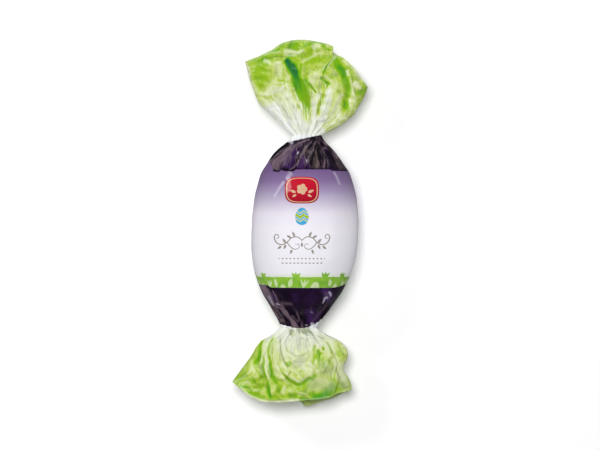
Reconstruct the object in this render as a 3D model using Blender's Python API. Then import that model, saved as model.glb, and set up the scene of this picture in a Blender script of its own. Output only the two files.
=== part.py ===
"""A marzipan egg in twisted film: a film-wrapped egg between two open, ruffled tails.

Everything is in metres. The egg lies along Y on a small flat spot, with +Z up and the origin
in the middle of that spot. The film is gathered into pleats towards a neck at each end, and
beyond each neck it fans out into a flattened bell, open at its mouth.
"""

import math
from typing import NamedTuple

import bpy
import numpy as np

# The egg.
EGG_RADIUS = 0.0230
BELLY_DEPTH = 0.0011  # how much the flat spot takes off the round underside
AXIS_HEIGHT = EGG_RADIUS - BELLY_DEPTH
UPPER_NECK_Y = 0.0406
LOWER_NECK_Y = -0.0426
NECK_GAP = 0.0003  # between the egg's solid and each tail's
# The film's radius at places along Y. It is round in the middle and runs straight to each neck.
EGG_PROFILE = (
    (LOWER_NECK_Y, 0.0072),
    (-0.0395, 0.0087),
    (-0.0350, 0.0120),
    (-0.0281, 0.0168),
    (-0.0199, 0.0204),
    (-0.0112, 0.0225),
    (0.0000, EGG_RADIUS),
    (0.0104, 0.0224),
    (0.0203, 0.0204),
    (0.0240, 0.0191),
    (0.0272, 0.0172),
    (0.0341, 0.0116),
    (0.0380, 0.0074),
    (UPPER_NECK_Y, 0.0056),
)
# How far the middle of the egg strays from Y = 0 along X: it leans a little.
EGG_LEAN = (
    (LOWER_NECK_Y, -0.0022),
    (-0.0350, -0.0015),
    (-0.0200, -0.0005),
    (0.0000, 0.0004),
    (0.0240, 0.0006),
    (0.0320, 0.0004),
    (UPPER_NECK_Y, 0.0013),
)
NECK_FLATNESS = 0.80  # height of the film's section at a neck, to its width
EGG_RINGS = 30
EGG_SEGMENTS = 72

# The pleats, deepest at the necks and gone at the egg's shoulders.
PLEAT_COUNT = 18
PLEAT_DEPTH = 0.10  # of the radius, at a neck
UPPER_SHOULDER_Y = 0.0255
LOWER_SHOULDER_Y = -0.0290
PLEAT_UNEVENNESS = ((3, 0.10, 0.7), (5, 0.07, 2.1))  # turns, size and phase of each wander

# The printed fields of the film: where each starts along Y, and its colour.
DARK_PRINT = (0.030, 0.012, 0.050, 1.0)
PRINT_FIELDS = (
    ("dark_lower_end", LOWER_NECK_Y, DARK_PRINT),
    ("leaf_strip", -0.0250, (0.33, 0.62, 0.12, 1.0)),
    ("pale_label", -0.0205, (0.84, 0.82, 0.88, 1.0)),
    ("lilac_label", 0.0070, (0.45, 0.36, 0.66, 1.0)),
    ("dark_upper_end", 0.0250, DARK_PRINT),
)
FILM_ROUGHNESS = 0.22

# The tails. A ray runs from the neck to the mouth; its place across the fan goes from -1, at
# the left edge, to 1, at the right edge.
TAIL_WALL = 0.0008
TAIL_RINGS = 14
TAIL_SEGMENTS = 88
SOLID_NECK_RINGS = 4  # the first rings, where the gathered film is solid
EVEN_SPACING = 0.6  # 0 spaces a ring's points as round an ellipse, 1 spaces them evenly across
NECK_PLEAT_FADE = 0.35  # of a ray, over which the neck's pleats open out
FOLD_SHARPNESS = 0.93  # 0 gives waves, 1 gives creases
FOLD_GROWTH = 1.2  # how late along a ray the folds rise: 1 is steadily


class Fold(NamedTuple):
    """One set of waves across a film layer: its count, its height at the mouth, its phase."""

    waves: float
    height: float
    phase: float


class Lap(NamedTuple):
    """A stretch of film that lies over its neighbour: where its edge runs, and the step down."""

    edge_across: tuple
    drop: float
    softness: float


class Tail(NamedTuple):
    """One open end of the film, fanned out from its neck."""

    name: str
    neck_y: float
    way: int  # along Y: 1 up, -1 down
    left_edge: tuple  # of (distance from the neck, angle from the tail's axis in degrees)
    right_edge: tuple
    front_rim: tuple  # of (place across, length of the ray)
    back_rim: tuple
    bell_height: tuple  # of (share of a ray, height of the section)
    droop: float
    front_folds: tuple
    back_folds: tuple
    laps: tuple
    colour: tuple


UPPER_TAIL = Tail(
    name="upper_tail",
    neck_y=UPPER_NECK_Y,
    way=1,
    left_edge=((0.0, 54.0), (0.0100, 50.0), (0.0200, 48.0), (0.0300, 39.0), (0.0385, 33.5)),
    right_edge=((0.0, 72.0), (0.0120, 62.5), (0.0200, 54.5), (0.0295, 45.0), (0.0400, 37.0)),
    front_rim=(
        (-1.0, 0.0383),
        (-0.5, 0.0393),
        (0.0, 0.0410),
        (0.3, 0.0396),
        (0.5, 0.0356),
        (0.75, 0.0325),
        (1.0, 0.0293),
    ),
    back_rim=((-1.0, 0.0383), (-0.4, 0.0378), (0.2, 0.0382), (0.6, 0.0335), (1.0, 0.0293)),
    bell_height=((0.0, 0.0090), (0.2, 0.0092), (0.6, 0.0138), (1.0, 0.0155)),
    droop=0.0020,
    front_folds=(Fold(4.6, 0.0021, 0.4), Fold(9.0, 0.0006, 2.0)),
    back_folds=(Fold(5.2, 0.0020, 1.3), Fold(9.0, 0.0005, 0.3)),
    laps=(Lap(((0.0, 0.30), (1.0, 0.42)), 0.0022, 0.10),),
    colour=(0.46, 0.74, 0.16, 1.0),
)
LOWER_TAIL = Tail(
    name="lower_tail",
    neck_y=LOWER_NECK_Y,
    way=-1,
    left_edge=((0.0, 58.0), (0.0100, 57.0), (0.0173, 48.5), (0.0258, 44.0), (0.0317, 42.5)),
    right_edge=((0.0, 56.0), (0.0110, 60.0), (0.0146, 57.5), (0.0200, 38.0), (0.0308, 29.8)),
    front_rim=(
        (-1.0, 0.0317),
        (-0.75, 0.0333),
        (-0.5, 0.0341),
        (0.0, 0.0320),
        (0.4, 0.0318),
        (0.75, 0.0315),
        (1.0, 0.0308),
    ),
    back_rim=((-1.0, 0.0317), (-0.4, 0.0322), (0.25, 0.0344), (0.6, 0.0332), (1.0, 0.0308)),
    bell_height=((0.0, 0.0115), (0.2, 0.0105), (0.6, 0.0138), (1.0, 0.0155)),
    droop=0.0035,
    front_folds=(Fold(4.2, 0.0021, 2.6), Fold(8.0, 0.0006, 0.6)),
    back_folds=(Fold(5.0, 0.0020, 0.2), Fold(9.0, 0.0005, 1.9)),
    laps=(Lap(((0.0, 0.70), (0.45, 0.62), (1.0, 0.56)), 0.0026, 0.10),),
    colour=(0.42, 0.72, 0.18, 1.0),
)


def curve_through(points):
    """A smooth function through (place, value) points, level beyond both ends."""
    places, values = np.array(points, dtype=float).T
    slopes = np.gradient(values, places)

    def value_at(place):
        place = np.clip(place, places[0], places[-1])
        i = np.clip(np.searchsorted(places, place) - 1, 0, len(places) - 2)
        width = places[i + 1] - places[i]
        s = (place - places[i]) / width
        rise = 3 * s**2 - 2 * s**3
        start = values[i] * (1 - rise) + slopes[i] * width * (s - 2 * s**2 + s**3)
        end = values[i + 1] * rise + slopes[i + 1] * width * (s**3 - s**2)
        return start + end

    return value_at


def smooth_step(low, high, value):
    """0 up to low, 1 from high on, and smooth between. low may be above high."""
    s = np.clip((value - low) / (high - low), 0.0, 1.0)
    return s * s * (3 - 2 * s)


def pleats(angle):
    """The gathered film's relief round a neck: 1 on a crest, -1 in a crease."""
    wander = sum(size * np.sin(turns * angle + phase) for turns, size, phase in PLEAT_UNEVENNESS)
    return 1 - 2 * np.abs(np.sin(PLEAT_COUNT * angle / 2 + wander * PLEAT_COUNT / 2))


def fold_wave(turn):
    """A wave whose crests and troughs are nearly creased."""
    return np.arcsin(FOLD_SHARPNESS * np.sin(turn)) / math.asin(FOLD_SHARPNESS)


def grid_triangles(rows, columns, inward=False):
    """Triangles between the rows of a grid whose columns close on themselves."""
    triangles = []
    for row in range(rows - 1):
        for column in range(columns):
            after = (column + 1) % columns
            a = row * columns + column
            b = row * columns + after
            c = a + columns
            d = b + columns
            triangles += [(a, d, b), (a, c, d)]
    return [t[::-1] for t in triangles] if inward else triangles


def cap_triangles(first, columns, inward=False):
    """Triangles across a ring whose point 0 is at one edge and whose halves mirror each other."""
    triangles = []
    half = columns // 2
    for column in range(half):
        near = first + column
        mirror = first + (columns - column) % columns
        near_next = near + 1
        mirror_next = first + columns - column - 1
        if column > 0:
            triangles.append((near, near_next, mirror))
        if column < half - 1:
            triangles.append((near_next, mirror_next, mirror))
    return [t[::-1] for t in triangles] if inward else triangles


def film_material(name, colour):
    """Glossy printed film of one colour."""
    material = bpy.data.materials.new(name)
    material.use_nodes = True
    shader = material.node_tree.nodes["Principled BSDF"]
    shader.inputs["Base Color"].default_value = colour
    shader.inputs["Roughness"].default_value = FILM_ROUGHNESS
    shader.inputs["Metallic"].default_value = 0.0
    return material


def make_object(name, points, triangles, materials):
    """A smooth-shaded object in the scene."""
    mesh = bpy.data.meshes.new(name)
    mesh.from_pydata([tuple(point) for point in points], [], triangles)
    mesh.shade_smooth()
    mesh.set_sharp_from_angle(angle=math.radians(50))
    for material in materials:
        mesh.materials.append(material)
    shape = bpy.data.objects.new(name, mesh)
    bpy.context.scene.collection.objects.link(shape)
    return shape


def neck_flatness(y):
    """The film's section is round on the egg and flatter at each neck."""
    upper = smooth_step(UPPER_SHOULDER_Y, UPPER_NECK_Y, y)
    lower = smooth_step(LOWER_SHOULDER_Y, LOWER_NECK_Y, y)
    return 1 - (1 - NECK_FLATNESS) * (upper + lower)


def egg_ring_places():
    """Where the egg's rings stand along Y: closest together towards the necks."""
    low = LOWER_NECK_Y + NECK_GAP / 2
    high = UPPER_NECK_Y - NECK_GAP / 2
    turn = np.linspace(0, math.pi, EGG_RINGS)
    evenly = np.linspace(low, high, EGG_RINGS)
    rounded = (low + high) / 2 - (high - low) / 2 * np.cos(turn)
    return (evenly + rounded) / 2


def wrapped_egg():
    """The egg in its film, from neck to neck, lying on its flat spot."""
    radius_at = curve_through(EGG_PROFILE)
    lean_at = curve_through(EGG_LEAN)
    angle = np.linspace(0, 2 * math.pi, EGG_SEGMENTS, endpoint=False)
    points = []
    for y in egg_ring_places():
        gather = smooth_step(UPPER_SHOULDER_Y, UPPER_NECK_Y, y)
        gather += smooth_step(LOWER_SHOULDER_Y, LOWER_NECK_Y, y)
        radius = radius_at(y) * (1 + PLEAT_DEPTH * gather * pleats(angle))
        x = lean_at(y) + radius * np.cos(angle)
        z = AXIS_HEIGHT + radius * neck_flatness(y) * np.sin(angle)
        points += zip(x, np.full(EGG_SEGMENTS, y), np.maximum(z, 0.0))
    last = (EGG_RINGS - 1) * EGG_SEGMENTS
    triangles = grid_triangles(EGG_RINGS, EGG_SEGMENTS)
    triangles += cap_triangles(0, EGG_SEGMENTS)
    triangles += cap_triangles(last, EGG_SEGMENTS, inward=True)
    materials = [film_material(name, colour) for name, _, colour in PRINT_FIELDS]
    egg = make_object("wrapped_egg", points, triangles, materials)
    for face in egg.data.polygons:
        face.material_index = sum(face.center.y > start for _, start, _ in PRINT_FIELDS[1:])
    return egg


def ring_places():
    """Each point round a tail's ring: its place across the fan, and its side (1 is the front)."""
    turn = np.linspace(0, 2 * math.pi, TAIL_SEGMENTS, endpoint=False)
    evenly = np.abs(2 * turn / math.pi - 2) - 1
    across = EVEN_SPACING * evenly + (1 - EVEN_SPACING) * np.cos(turn)
    side = np.where(turn < math.pi, 1.0, -1.0)
    return np.clip(across, -1, 1), side


def folds_height(folds, across):
    """The height of a layer's folds at a place across the fan, at the mouth."""
    turns = [(fold.height, math.pi * fold.waves * across + fold.phase) for fold in folds]
    return sum(height * fold_wave(turn) for height, turn in turns)


class TailSurface:
    """The film of one tail as a function of the place round it and the share of a ray."""

    def __init__(self, tail):
        self.tail = tail
        self.neck_width = curve_through(EGG_PROFILE)(tail.neck_y)
        self.neck_x = curve_through(EGG_LEAN)(tail.neck_y)
        self.left_edge = curve_through(tail.left_edge)
        self.right_edge = curve_through(tail.right_edge)
        self.front_rim = curve_through(tail.front_rim)
        self.back_rim = curve_through(tail.back_rim)
        self.bell_height = curve_through(tail.bell_height)
        self.laps = [(lap, curve_through(lap.edge_across)) for lap in tail.laps]

    def relief(self, across, side, share):
        """How far the folds and laps lift the film from the smooth bell."""
        front = folds_height(self.tail.front_folds, across)
        back = folds_height(self.tail.back_folds, across)
        for lap, edge_at in self.laps:
            start = edge_at(share) - lap.softness / 2
            front = front - lap.drop * smooth_step(start, start + lap.softness, across)
        return np.where(side > 0, front, back) * share**FOLD_GROWTH

    def ring(self, share, wall=0.0):
        """The ring of points at a share of each ray, moved inwards by the wall."""
        across, side = ring_places()
        roundness = np.sqrt(1 - across**2)
        length = np.where(side > 0, self.front_rim(across), self.back_rim(across)) * share
        reach = np.mean(length)
        mean_angle = math.radians((self.left_edge(reach) + self.right_edge(reach)) / 2)
        half_width = self.neck_width + reach * math.sin(mean_angle)
        across = across * (1 - wall / half_width)
        left = np.radians(self.left_edge(length))
        right = np.radians(self.right_edge(length))
        angle = -left + (left + right) * (across + 1) / 2
        gather = PLEAT_DEPTH * (1 - smooth_step(0.0, NECK_PLEAT_FADE, share))
        turn = np.arctan2(side * roundness, across)
        pleat = 1 + gather * pleats(turn)
        height = self.bell_height(share) / 2 + self.relief(across, side, share) - wall
        x = self.neck_x + self.neck_width * across * pleat + length * np.sin(angle)
        y = self.tail.neck_y + self.tail.way * (NECK_GAP / 2 + length * np.cos(angle))
        z = AXIS_HEIGHT - self.tail.droop * share**2 + side * roundness * height * pleat
        return np.column_stack([x, y, z])


def tail_solid(tail):
    """One tail: film with a wall, solid where it is gathered at the neck, open at its mouth."""
    surface = TailSurface(tail)
    shares = np.linspace(0, 1, TAIL_RINGS)
    outer = [surface.ring(share) for share in shares]
    inner = [surface.ring(share, TAIL_WALL) for share in shares[SOLID_NECK_RINGS:]][::-1]
    points = np.concatenate(outer + inner)
    rows = len(outer) + len(inner)
    last = (rows - 1) * TAIL_SEGMENTS
    upwards = tail.way > 0
    triangles = grid_triangles(rows, TAIL_SEGMENTS, inward=not upwards)
    triangles += cap_triangles(0, TAIL_SEGMENTS, inward=not upwards)
    triangles += cap_triangles(last, TAIL_SEGMENTS, inward=upwards)
    return make_object(tail.name, points, triangles, [film_material(tail.name, tail.colour)])


def main():
    """Clears the scene and builds the wrapped egg and its two tails."""
    for old in list(bpy.data.objects):
        bpy.data.objects.remove(old, do_unlink=True)
    wrapped_egg()
    for tail in (UPPER_TAIL, LOWER_TAIL):
        tail_solid(tail)


main()
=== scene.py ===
"""A marzipan egg in twisted printed film: the visual model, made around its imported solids.

The egg lies along Y with its printed side up. Its film is gathered into a neck at each end and
fans out beyond it into a ruffled, open tail. Lengths in tables are in millimetres, as seen from
above: X to the right, Y towards the upper tail. Meshes are in metres.
"""

import logging
import math
from dataclasses import dataclass
from enum import Enum, auto
from typing import Any, Callable, Iterable, Optional, Union

import bpy
import numpy as np
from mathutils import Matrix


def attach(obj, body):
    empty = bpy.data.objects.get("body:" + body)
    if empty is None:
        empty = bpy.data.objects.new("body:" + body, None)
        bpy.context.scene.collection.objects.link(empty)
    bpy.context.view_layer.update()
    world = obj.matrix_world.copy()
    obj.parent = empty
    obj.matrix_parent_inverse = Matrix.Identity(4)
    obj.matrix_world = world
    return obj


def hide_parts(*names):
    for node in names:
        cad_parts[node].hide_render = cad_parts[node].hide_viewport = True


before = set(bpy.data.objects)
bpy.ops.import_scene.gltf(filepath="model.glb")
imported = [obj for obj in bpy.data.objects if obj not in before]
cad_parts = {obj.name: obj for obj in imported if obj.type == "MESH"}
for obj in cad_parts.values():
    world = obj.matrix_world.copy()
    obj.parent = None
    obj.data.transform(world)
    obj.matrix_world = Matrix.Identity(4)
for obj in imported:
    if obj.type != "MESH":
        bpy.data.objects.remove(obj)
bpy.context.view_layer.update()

LOG = logging.getLogger("marzipan_egg")
MM = 0.001

Array = np.ndarray
Point = tuple[float, float]
Path = tuple[Point, ...]
Socket = bpy.types.NodeSocket

# The neck rings, shared by the egg's film and the tails that grow out of it.
AXIS_HEIGHT = 21.9
UPPER_NECK_Y = 40.6
LOWER_NECK_Y = -42.6
NECK_FLATNESS = 0.80


# ----- Curves, steps and creases -----


def curve_through(points: Path) -> Callable[[Any], Array]:
    """Makes a smooth function through points, level beyond both ends.

    Args:
        points: pairs of place and value, with the places in rising order.

    Returns:
        A function from places to values.
    """
    places, values = np.array(points, dtype=float).T
    slopes = np.gradient(values, places)

    def value_at(place: Any) -> Array:
        """Reads the curve.

        Args:
            place: a place, or an array of them.

        Returns:
            The curve's values there.
        """
        place = np.clip(place, places[0], places[-1])
        i = np.clip(np.searchsorted(places, place) - 1, 0, len(places) - 2)
        width = places[i + 1] - places[i]
        s = (place - places[i]) / width
        rise = 3 * s**2 - 2 * s**3
        start = values[i] * (1 - rise) + slopes[i] * width * (s - 2 * s**2 + s**3)
        end = values[i + 1] * rise + slopes[i + 1] * width * (s**3 - s**2)
        return start + end

    return value_at


def line_through(points: Path) -> Callable[[Any], Array]:
    """Makes a function that runs straight from point to point.

    Args:
        points: pairs of place and value, with the places in rising order.

    Returns:
        A function from places to values.
    """
    places, values = np.array(points, dtype=float).T
    return lambda place: np.interp(place, places, values)


def smooth_step(low: Any, high: Any, value: Any) -> Array:
    """0 up to low, 1 from high on, and smooth between; low may be above high."""
    s = np.clip((value - low) / (high - low), 0.0, 1.0)
    return s * s * (3 - 2 * s)


def blend(low: Any, high: Any, share: Any) -> Any:
    """The value that is the given share of the way from low to high."""
    return low + (high - low) * share


def folded_over(x: Array, y: Array, seed: int, size: float, creases: int = 7) -> Array:
    """Flat facets between sharp creases, as on film that was crushed and opened again.

    The plane is folded over on itself again and again, and each fold adds a row of pleats, so
    that later creases break and turn where they cross earlier ones.

    Args:
        x, y: the places, in millimetres.
        seed: the seed of the folds.
        size: the width of a facet, in millimetres.
        creases: how many times the plane is folded.

    Returns:
        The relief, in widths of a facet.
    """
    rng = np.random.default_rng(seed)
    across, along = x / size, y / size
    relief = np.zeros_like(across)
    for _ in range(creases):
        turn = rng.uniform(0, math.tau)
        normal = (math.cos(turn), math.sin(turn))
        reach = across * normal[0] + along * normal[1] - rng.uniform(-3, 3)
        relief += np.abs(np.mod(reach, 2.0) - 1.0) * rng.uniform(0.5, 1.0)
        under = np.minimum(reach, 0.0)
        across = across - 2 * under * normal[0]
        along = along - 2 * under * normal[1]
    return relief


def crumpled(x: Array, y: Array, seed: int, size: float) -> Array:
    """The relief of crushed film, with a mean of 0 and a spread of 1."""
    relief = folded_over(x, y, seed, size)
    return (relief - relief.mean()) / relief.std()


def facet_tones(x: Array, y: Array, seed: int, size: float) -> Array:
    """Finds how far each facet of crushed film is turned to the upper left.

    Args:
        x, y: the places, in millimetres.
        seed: the seed of the folds.
        size: the width of a facet, in millimetres.

    Returns:
        The turns, with a mean of 0 and a spread of 1.
    """
    reach = 0.06
    fall = folded_over(x + reach, y - reach, seed, size)
    tone = fall - folded_over(x - reach, y + reach, seed, size)
    return (tone - tone.mean()) / tone.std()


def wandering(x: Array, y: Array, seed: int, size: float) -> Array:
    """Soft waves without a direction, with a spread of about 1.

    Args:
        x, y: the places, in millimetres.
        seed: the seed of the waves.
        size: the length of a wave, in millimetres.

    Returns:
        The sum of the waves.
    """
    rng = np.random.default_rng(seed)
    total = np.zeros_like(x)
    for _ in range(6):
        turn = rng.uniform(0, math.tau)
        pace = math.tau / size * rng.uniform(0.7, 1.4)
        phase = rng.uniform(0, math.tau)
        total += np.sin(pace * (x * math.cos(turn) + y * math.sin(turn)) + phase)
    return total / math.sqrt(3)


def uneven_pleats(across: Array, pace: float, sway: float, turns: float) -> Array:
    """Pointed pleats, unevenly spaced across a fan: -0.5 in a valley, 0.5 on a crest."""
    return np.abs(np.mod(across * pace + sway * np.sin(turns * across), 2.0) - 1) - 0.5


def smoothed(field: Array, rounds: int) -> Array:
    """A field on rings of points, evened out.

    Args:
        field: the values, as rings of points.
        rounds: how often each value is averaged with its neighbours.

    Returns:
        The smoother field.
    """
    for _ in range(rounds):
        field = (np.roll(field, 1, axis=1) + 2 * field + np.roll(field, -1, axis=1)) / 4
        padded = np.pad(field, ((1, 1), (0, 0)), mode="edge")
        field = (padded[:-2] + 2 * field + padded[2:]) / 4
    return field


@dataclass(frozen=True)
class Trace:
    """Where points lie along a path: how far off it, on which side, and how far along it."""

    distance: Array
    side: Array
    share: Array

    @classmethod
    def of(cls, path: Path, x: Array, y: Array) -> "Trace":
        """Measures points against a path, which is rounded through its corners.

        Args:
            path: the path's points, in millimetres.
            x, y: the points' places, in millimetres.

        Returns:
            The trace. Its side is 1 to the left of the path and -1 to its right.
        """
        corners = np.array(path, dtype=float)
        steps = np.hypot(*np.diff(corners, axis=0).T)
        places = np.concatenate([[0.0], np.cumsum(steps)])
        fine = np.linspace(0, places[-1], 6 * len(path))
        line_x = curve_through(tuple(zip(places, corners[:, 0])))(fine)
        line_y = curve_through(tuple(zip(places, corners[:, 1])))(fine)
        best = np.full(x.shape, np.inf)
        side = np.ones(x.shape)
        share = np.zeros(x.shape)
        count = len(fine) - 1
        for i in range(count):
            dx, dy = line_x[i + 1] - line_x[i], line_y[i + 1] - line_y[i]
            rx, ry = x - line_x[i], y - line_y[i]
            along = np.clip((rx * dx + ry * dy) / (dx * dx + dy * dy), 0, 1)
            off = np.hypot(rx - along * dx, ry - along * dy)
            nearer = off < best
            best = np.where(nearer, off, best)
            side = np.where(nearer, np.sign(dx * ry - dy * rx), side)
            share = np.where(nearer, (i + along) / count, share)
        return cls(best, side, share)


class CreaseKind(Enum):
    """How film bends at a crease."""

    FOLD = auto()  # two flat flanks that meet in an edge
    LAP = auto()  # a layer that lies over the film to the right of the path


@dataclass(frozen=True)
class Crease:
    """A crease in a sheet of film: its path, its height and how far its two flanks run."""

    path: Path
    height: float
    left: float = 2.5
    right: float = 2.5
    kind: CreaseKind = CreaseKind.FOLD
    fade: float = 0.25  # of the path, over which the crease rises and dies away

    def relief(self, x: Array, y: Array) -> Array:
        """How far the crease lifts the film.

        Args:
            x, y: the places, in millimetres.

        Returns:
            The lift, in millimetres.
        """
        trace = Trace.of(self.path, x, y)
        if self.kind is CreaseKind.FOLD:
            reach = np.where(trace.side > 0, self.left, self.right)
            form = np.clip(1 - trace.distance / reach, 0, 1)
            form = form * (0.65 + 0.35 * form)
        else:
            away = np.exp(-trace.distance / self.left)
            form = np.where(trace.side > 0, away, away * (trace.distance < 0.2))
        return self.height * form * blend(0.15, 1.0, self.ends(trace))

    def ends(self, trace: Trace) -> Array:
        """1 along the crease, dying away towards both ends."""
        return smooth_step(0, self.fade, trace.share) * smooth_step(0, self.fade, 1 - trace.share)

    def mark(self, x: Array, y: Array, width: float) -> Array:
        """The line that the crease leaves in the film: 1 on a crest, -1 in a valley.

        Args:
            x, y: the places, in millimetres.
            width: how far from the crease the line fades out, in millimetres.

        Returns:
            The line's strength.
        """
        trace = Trace.of(self.path, x, y)
        line = np.exp(-((trace.distance / width) ** 2)) * self.ends(trace)
        return math.copysign(1.0, self.height) * line


def points_of(flat: tuple[float, ...]) -> Path:
    """The points of a path that is given as X, Y, X, Y and so on."""
    return tuple(zip(flat[::2], flat[1::2]))


def creases(*rows: tuple) -> tuple[Crease, ...]:
    """Reads creases from rows: a flat path, and then a crease's other fields in their order."""
    return tuple(Crease(points_of(flat), *rest) for flat, *rest in rows)


def pair(value: Union[float, Point]) -> Point:
    """A pair as it is, or a number twice."""
    return value if isinstance(value, tuple) else (value, value)


@dataclass(frozen=True)
class Stroke:
    """A stroke of a brush: its ink, half width and fade at its start and its end."""

    ink: Point
    width: Point
    path: Path
    soft: Point  # how its left and right edge fade, in half widths
    fade: Point  # over which share of the path its ends fade

    def laid_over(self, ink: Array, x: Array, y: Array) -> Array:
        """Lays the stroke over the ink that is there.

        Args:
            ink: the density so far.
            x, y: the places, in millimetres.

        Returns:
            The new density.
        """
        trace = Trace.of(self.path, x, y)
        width = blend(*self.width, trace.share)
        soft = np.where(trace.side > 0, *self.soft)
        cover = 1 - smooth_step(width * (1 - soft), width * (1 + soft), trace.distance)
        ends = smooth_step(0, self.fade[0], trace.share)
        ends = ends * smooth_step(0, self.fade[1], 1 - trace.share)
        return blend(ink, blend(*self.ink, trace.share), cover * ends)


def strokes(*rows: tuple, soft: float, fade: float) -> tuple[Stroke, ...]:
    """Reads strokes from rows. A number in a row stands for a pair of equal ones.

    Args:
        rows: each the ink, the half width and the flat path; then the softness of the edges and
            the fade of the ends, where they aren't the table's.
        soft: the table's softness.
        fade: the table's fade.

    Returns:
        The strokes, in the order in which they are laid.
    """
    read = []
    for ink, width, flat, *own in rows:
        edges, ends = (*own, *(soft, fade)[len(own) :])
        read.append(Stroke(pair(ink), pair(width), points_of(flat), pair(edges), pair(ends)))
    return tuple(read)


def painted(marks: tuple[Stroke, ...], x: Array, y: Array) -> Array:
    """Lays strokes on bare film.

    Args:
        marks: the strokes, in their order.
        x, y: the places, in millimetres.

    Returns:
        The density.
    """
    ink = np.zeros(x.shape)
    for mark in marks:
        ink = mark.laid_over(ink, x, y)
    return ink


# ----- Shader trees -----


def srgb(red: int, green: int, blue: int) -> tuple[float, float, float, float]:
    """A colour given as on a screen, 0 to 255, in linear light."""
    shares = (channel / 255 for channel in (red, green, blue))
    return (*(s / 12.92 if s <= 0.04045 else ((s + 0.055) / 1.055) ** 2.4 for s in shares), 1.0)


def new_node(tree: bpy.types.NodeTree, kind: str, settings: dict, sockets: dict) -> Any:
    """Adds a node to a tree.

    Args:
        tree: the tree, of a material or of geometry nodes.
        kind: the node's type.
        settings: its properties; "stops" holds a ramp's places and colours.
        sockets: values or links by the name or the index of its input sockets.

    Returns:
        The node.
    """
    node = tree.nodes.new(kind)
    for name, value in settings.items():
        if name != "stops":
            setattr(node, name, value)
            continue
        for _ in range(len(value) - 2):
            node.color_ramp.elements.new(1.0)
        for element, (place, colour) in zip(node.color_ramp.elements, value):
            element.position = place
            element.color = colour
    for key, value in sockets.items():
        value = getattr(value, "socket", value)
        if isinstance(value, Socket):
            tree.links.new(value, node.inputs[key])
        else:
            node.inputs[key].default_value = value
    return node


Term = Union["Signal", float]


class Signal:
    """A number that varies over a surface, on which sums can be written as in Python."""

    def __init__(self, tree: "ShaderTree", socket: Socket) -> None:
        """Wraps an output socket of a tree."""
        self.tree = tree
        self.socket = socket

    def maths(self, operation: str, *terms: Term) -> "Signal":
        """The result of a Math node on the terms, in their order."""
        node = self.tree.add("ShaderNodeMath", {"operation": operation}, dict(enumerate(terms)))
        return Signal(self.tree, node.outputs[0])

    def __add__(self, other: Term) -> "Signal":
        """self + other."""
        return self.maths("ADD", self, other)

    __radd__ = __add__

    def __sub__(self, other: Term) -> "Signal":
        """self - other."""
        return self.maths("SUBTRACT", self, other)

    def __rsub__(self, other: float) -> "Signal":
        """other - self."""
        return self.maths("SUBTRACT", other, self)

    def __mul__(self, other: Term) -> "Signal":
        """self * other."""
        return self.maths("MULTIPLY", self, other)

    __rmul__ = __mul__

    def __truediv__(self, other: Term) -> "Signal":
        """self / other."""
        return self.maths("DIVIDE", self, other)

    def step(self, low: float, high: float) -> "Signal":
        """Makes a smooth step of the number.

        Args:
            low: up to where the step is 0.
            high: from where on it is 1.

        Returns:
            The step.
        """
        settings = {"interpolation_type": "SMOOTHSTEP"}
        sockets = {"Value": self, "From Min": low, "From Max": high}
        return Signal(self.tree, self.tree.add("ShaderNodeMapRange", settings, sockets).outputs[0])


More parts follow.
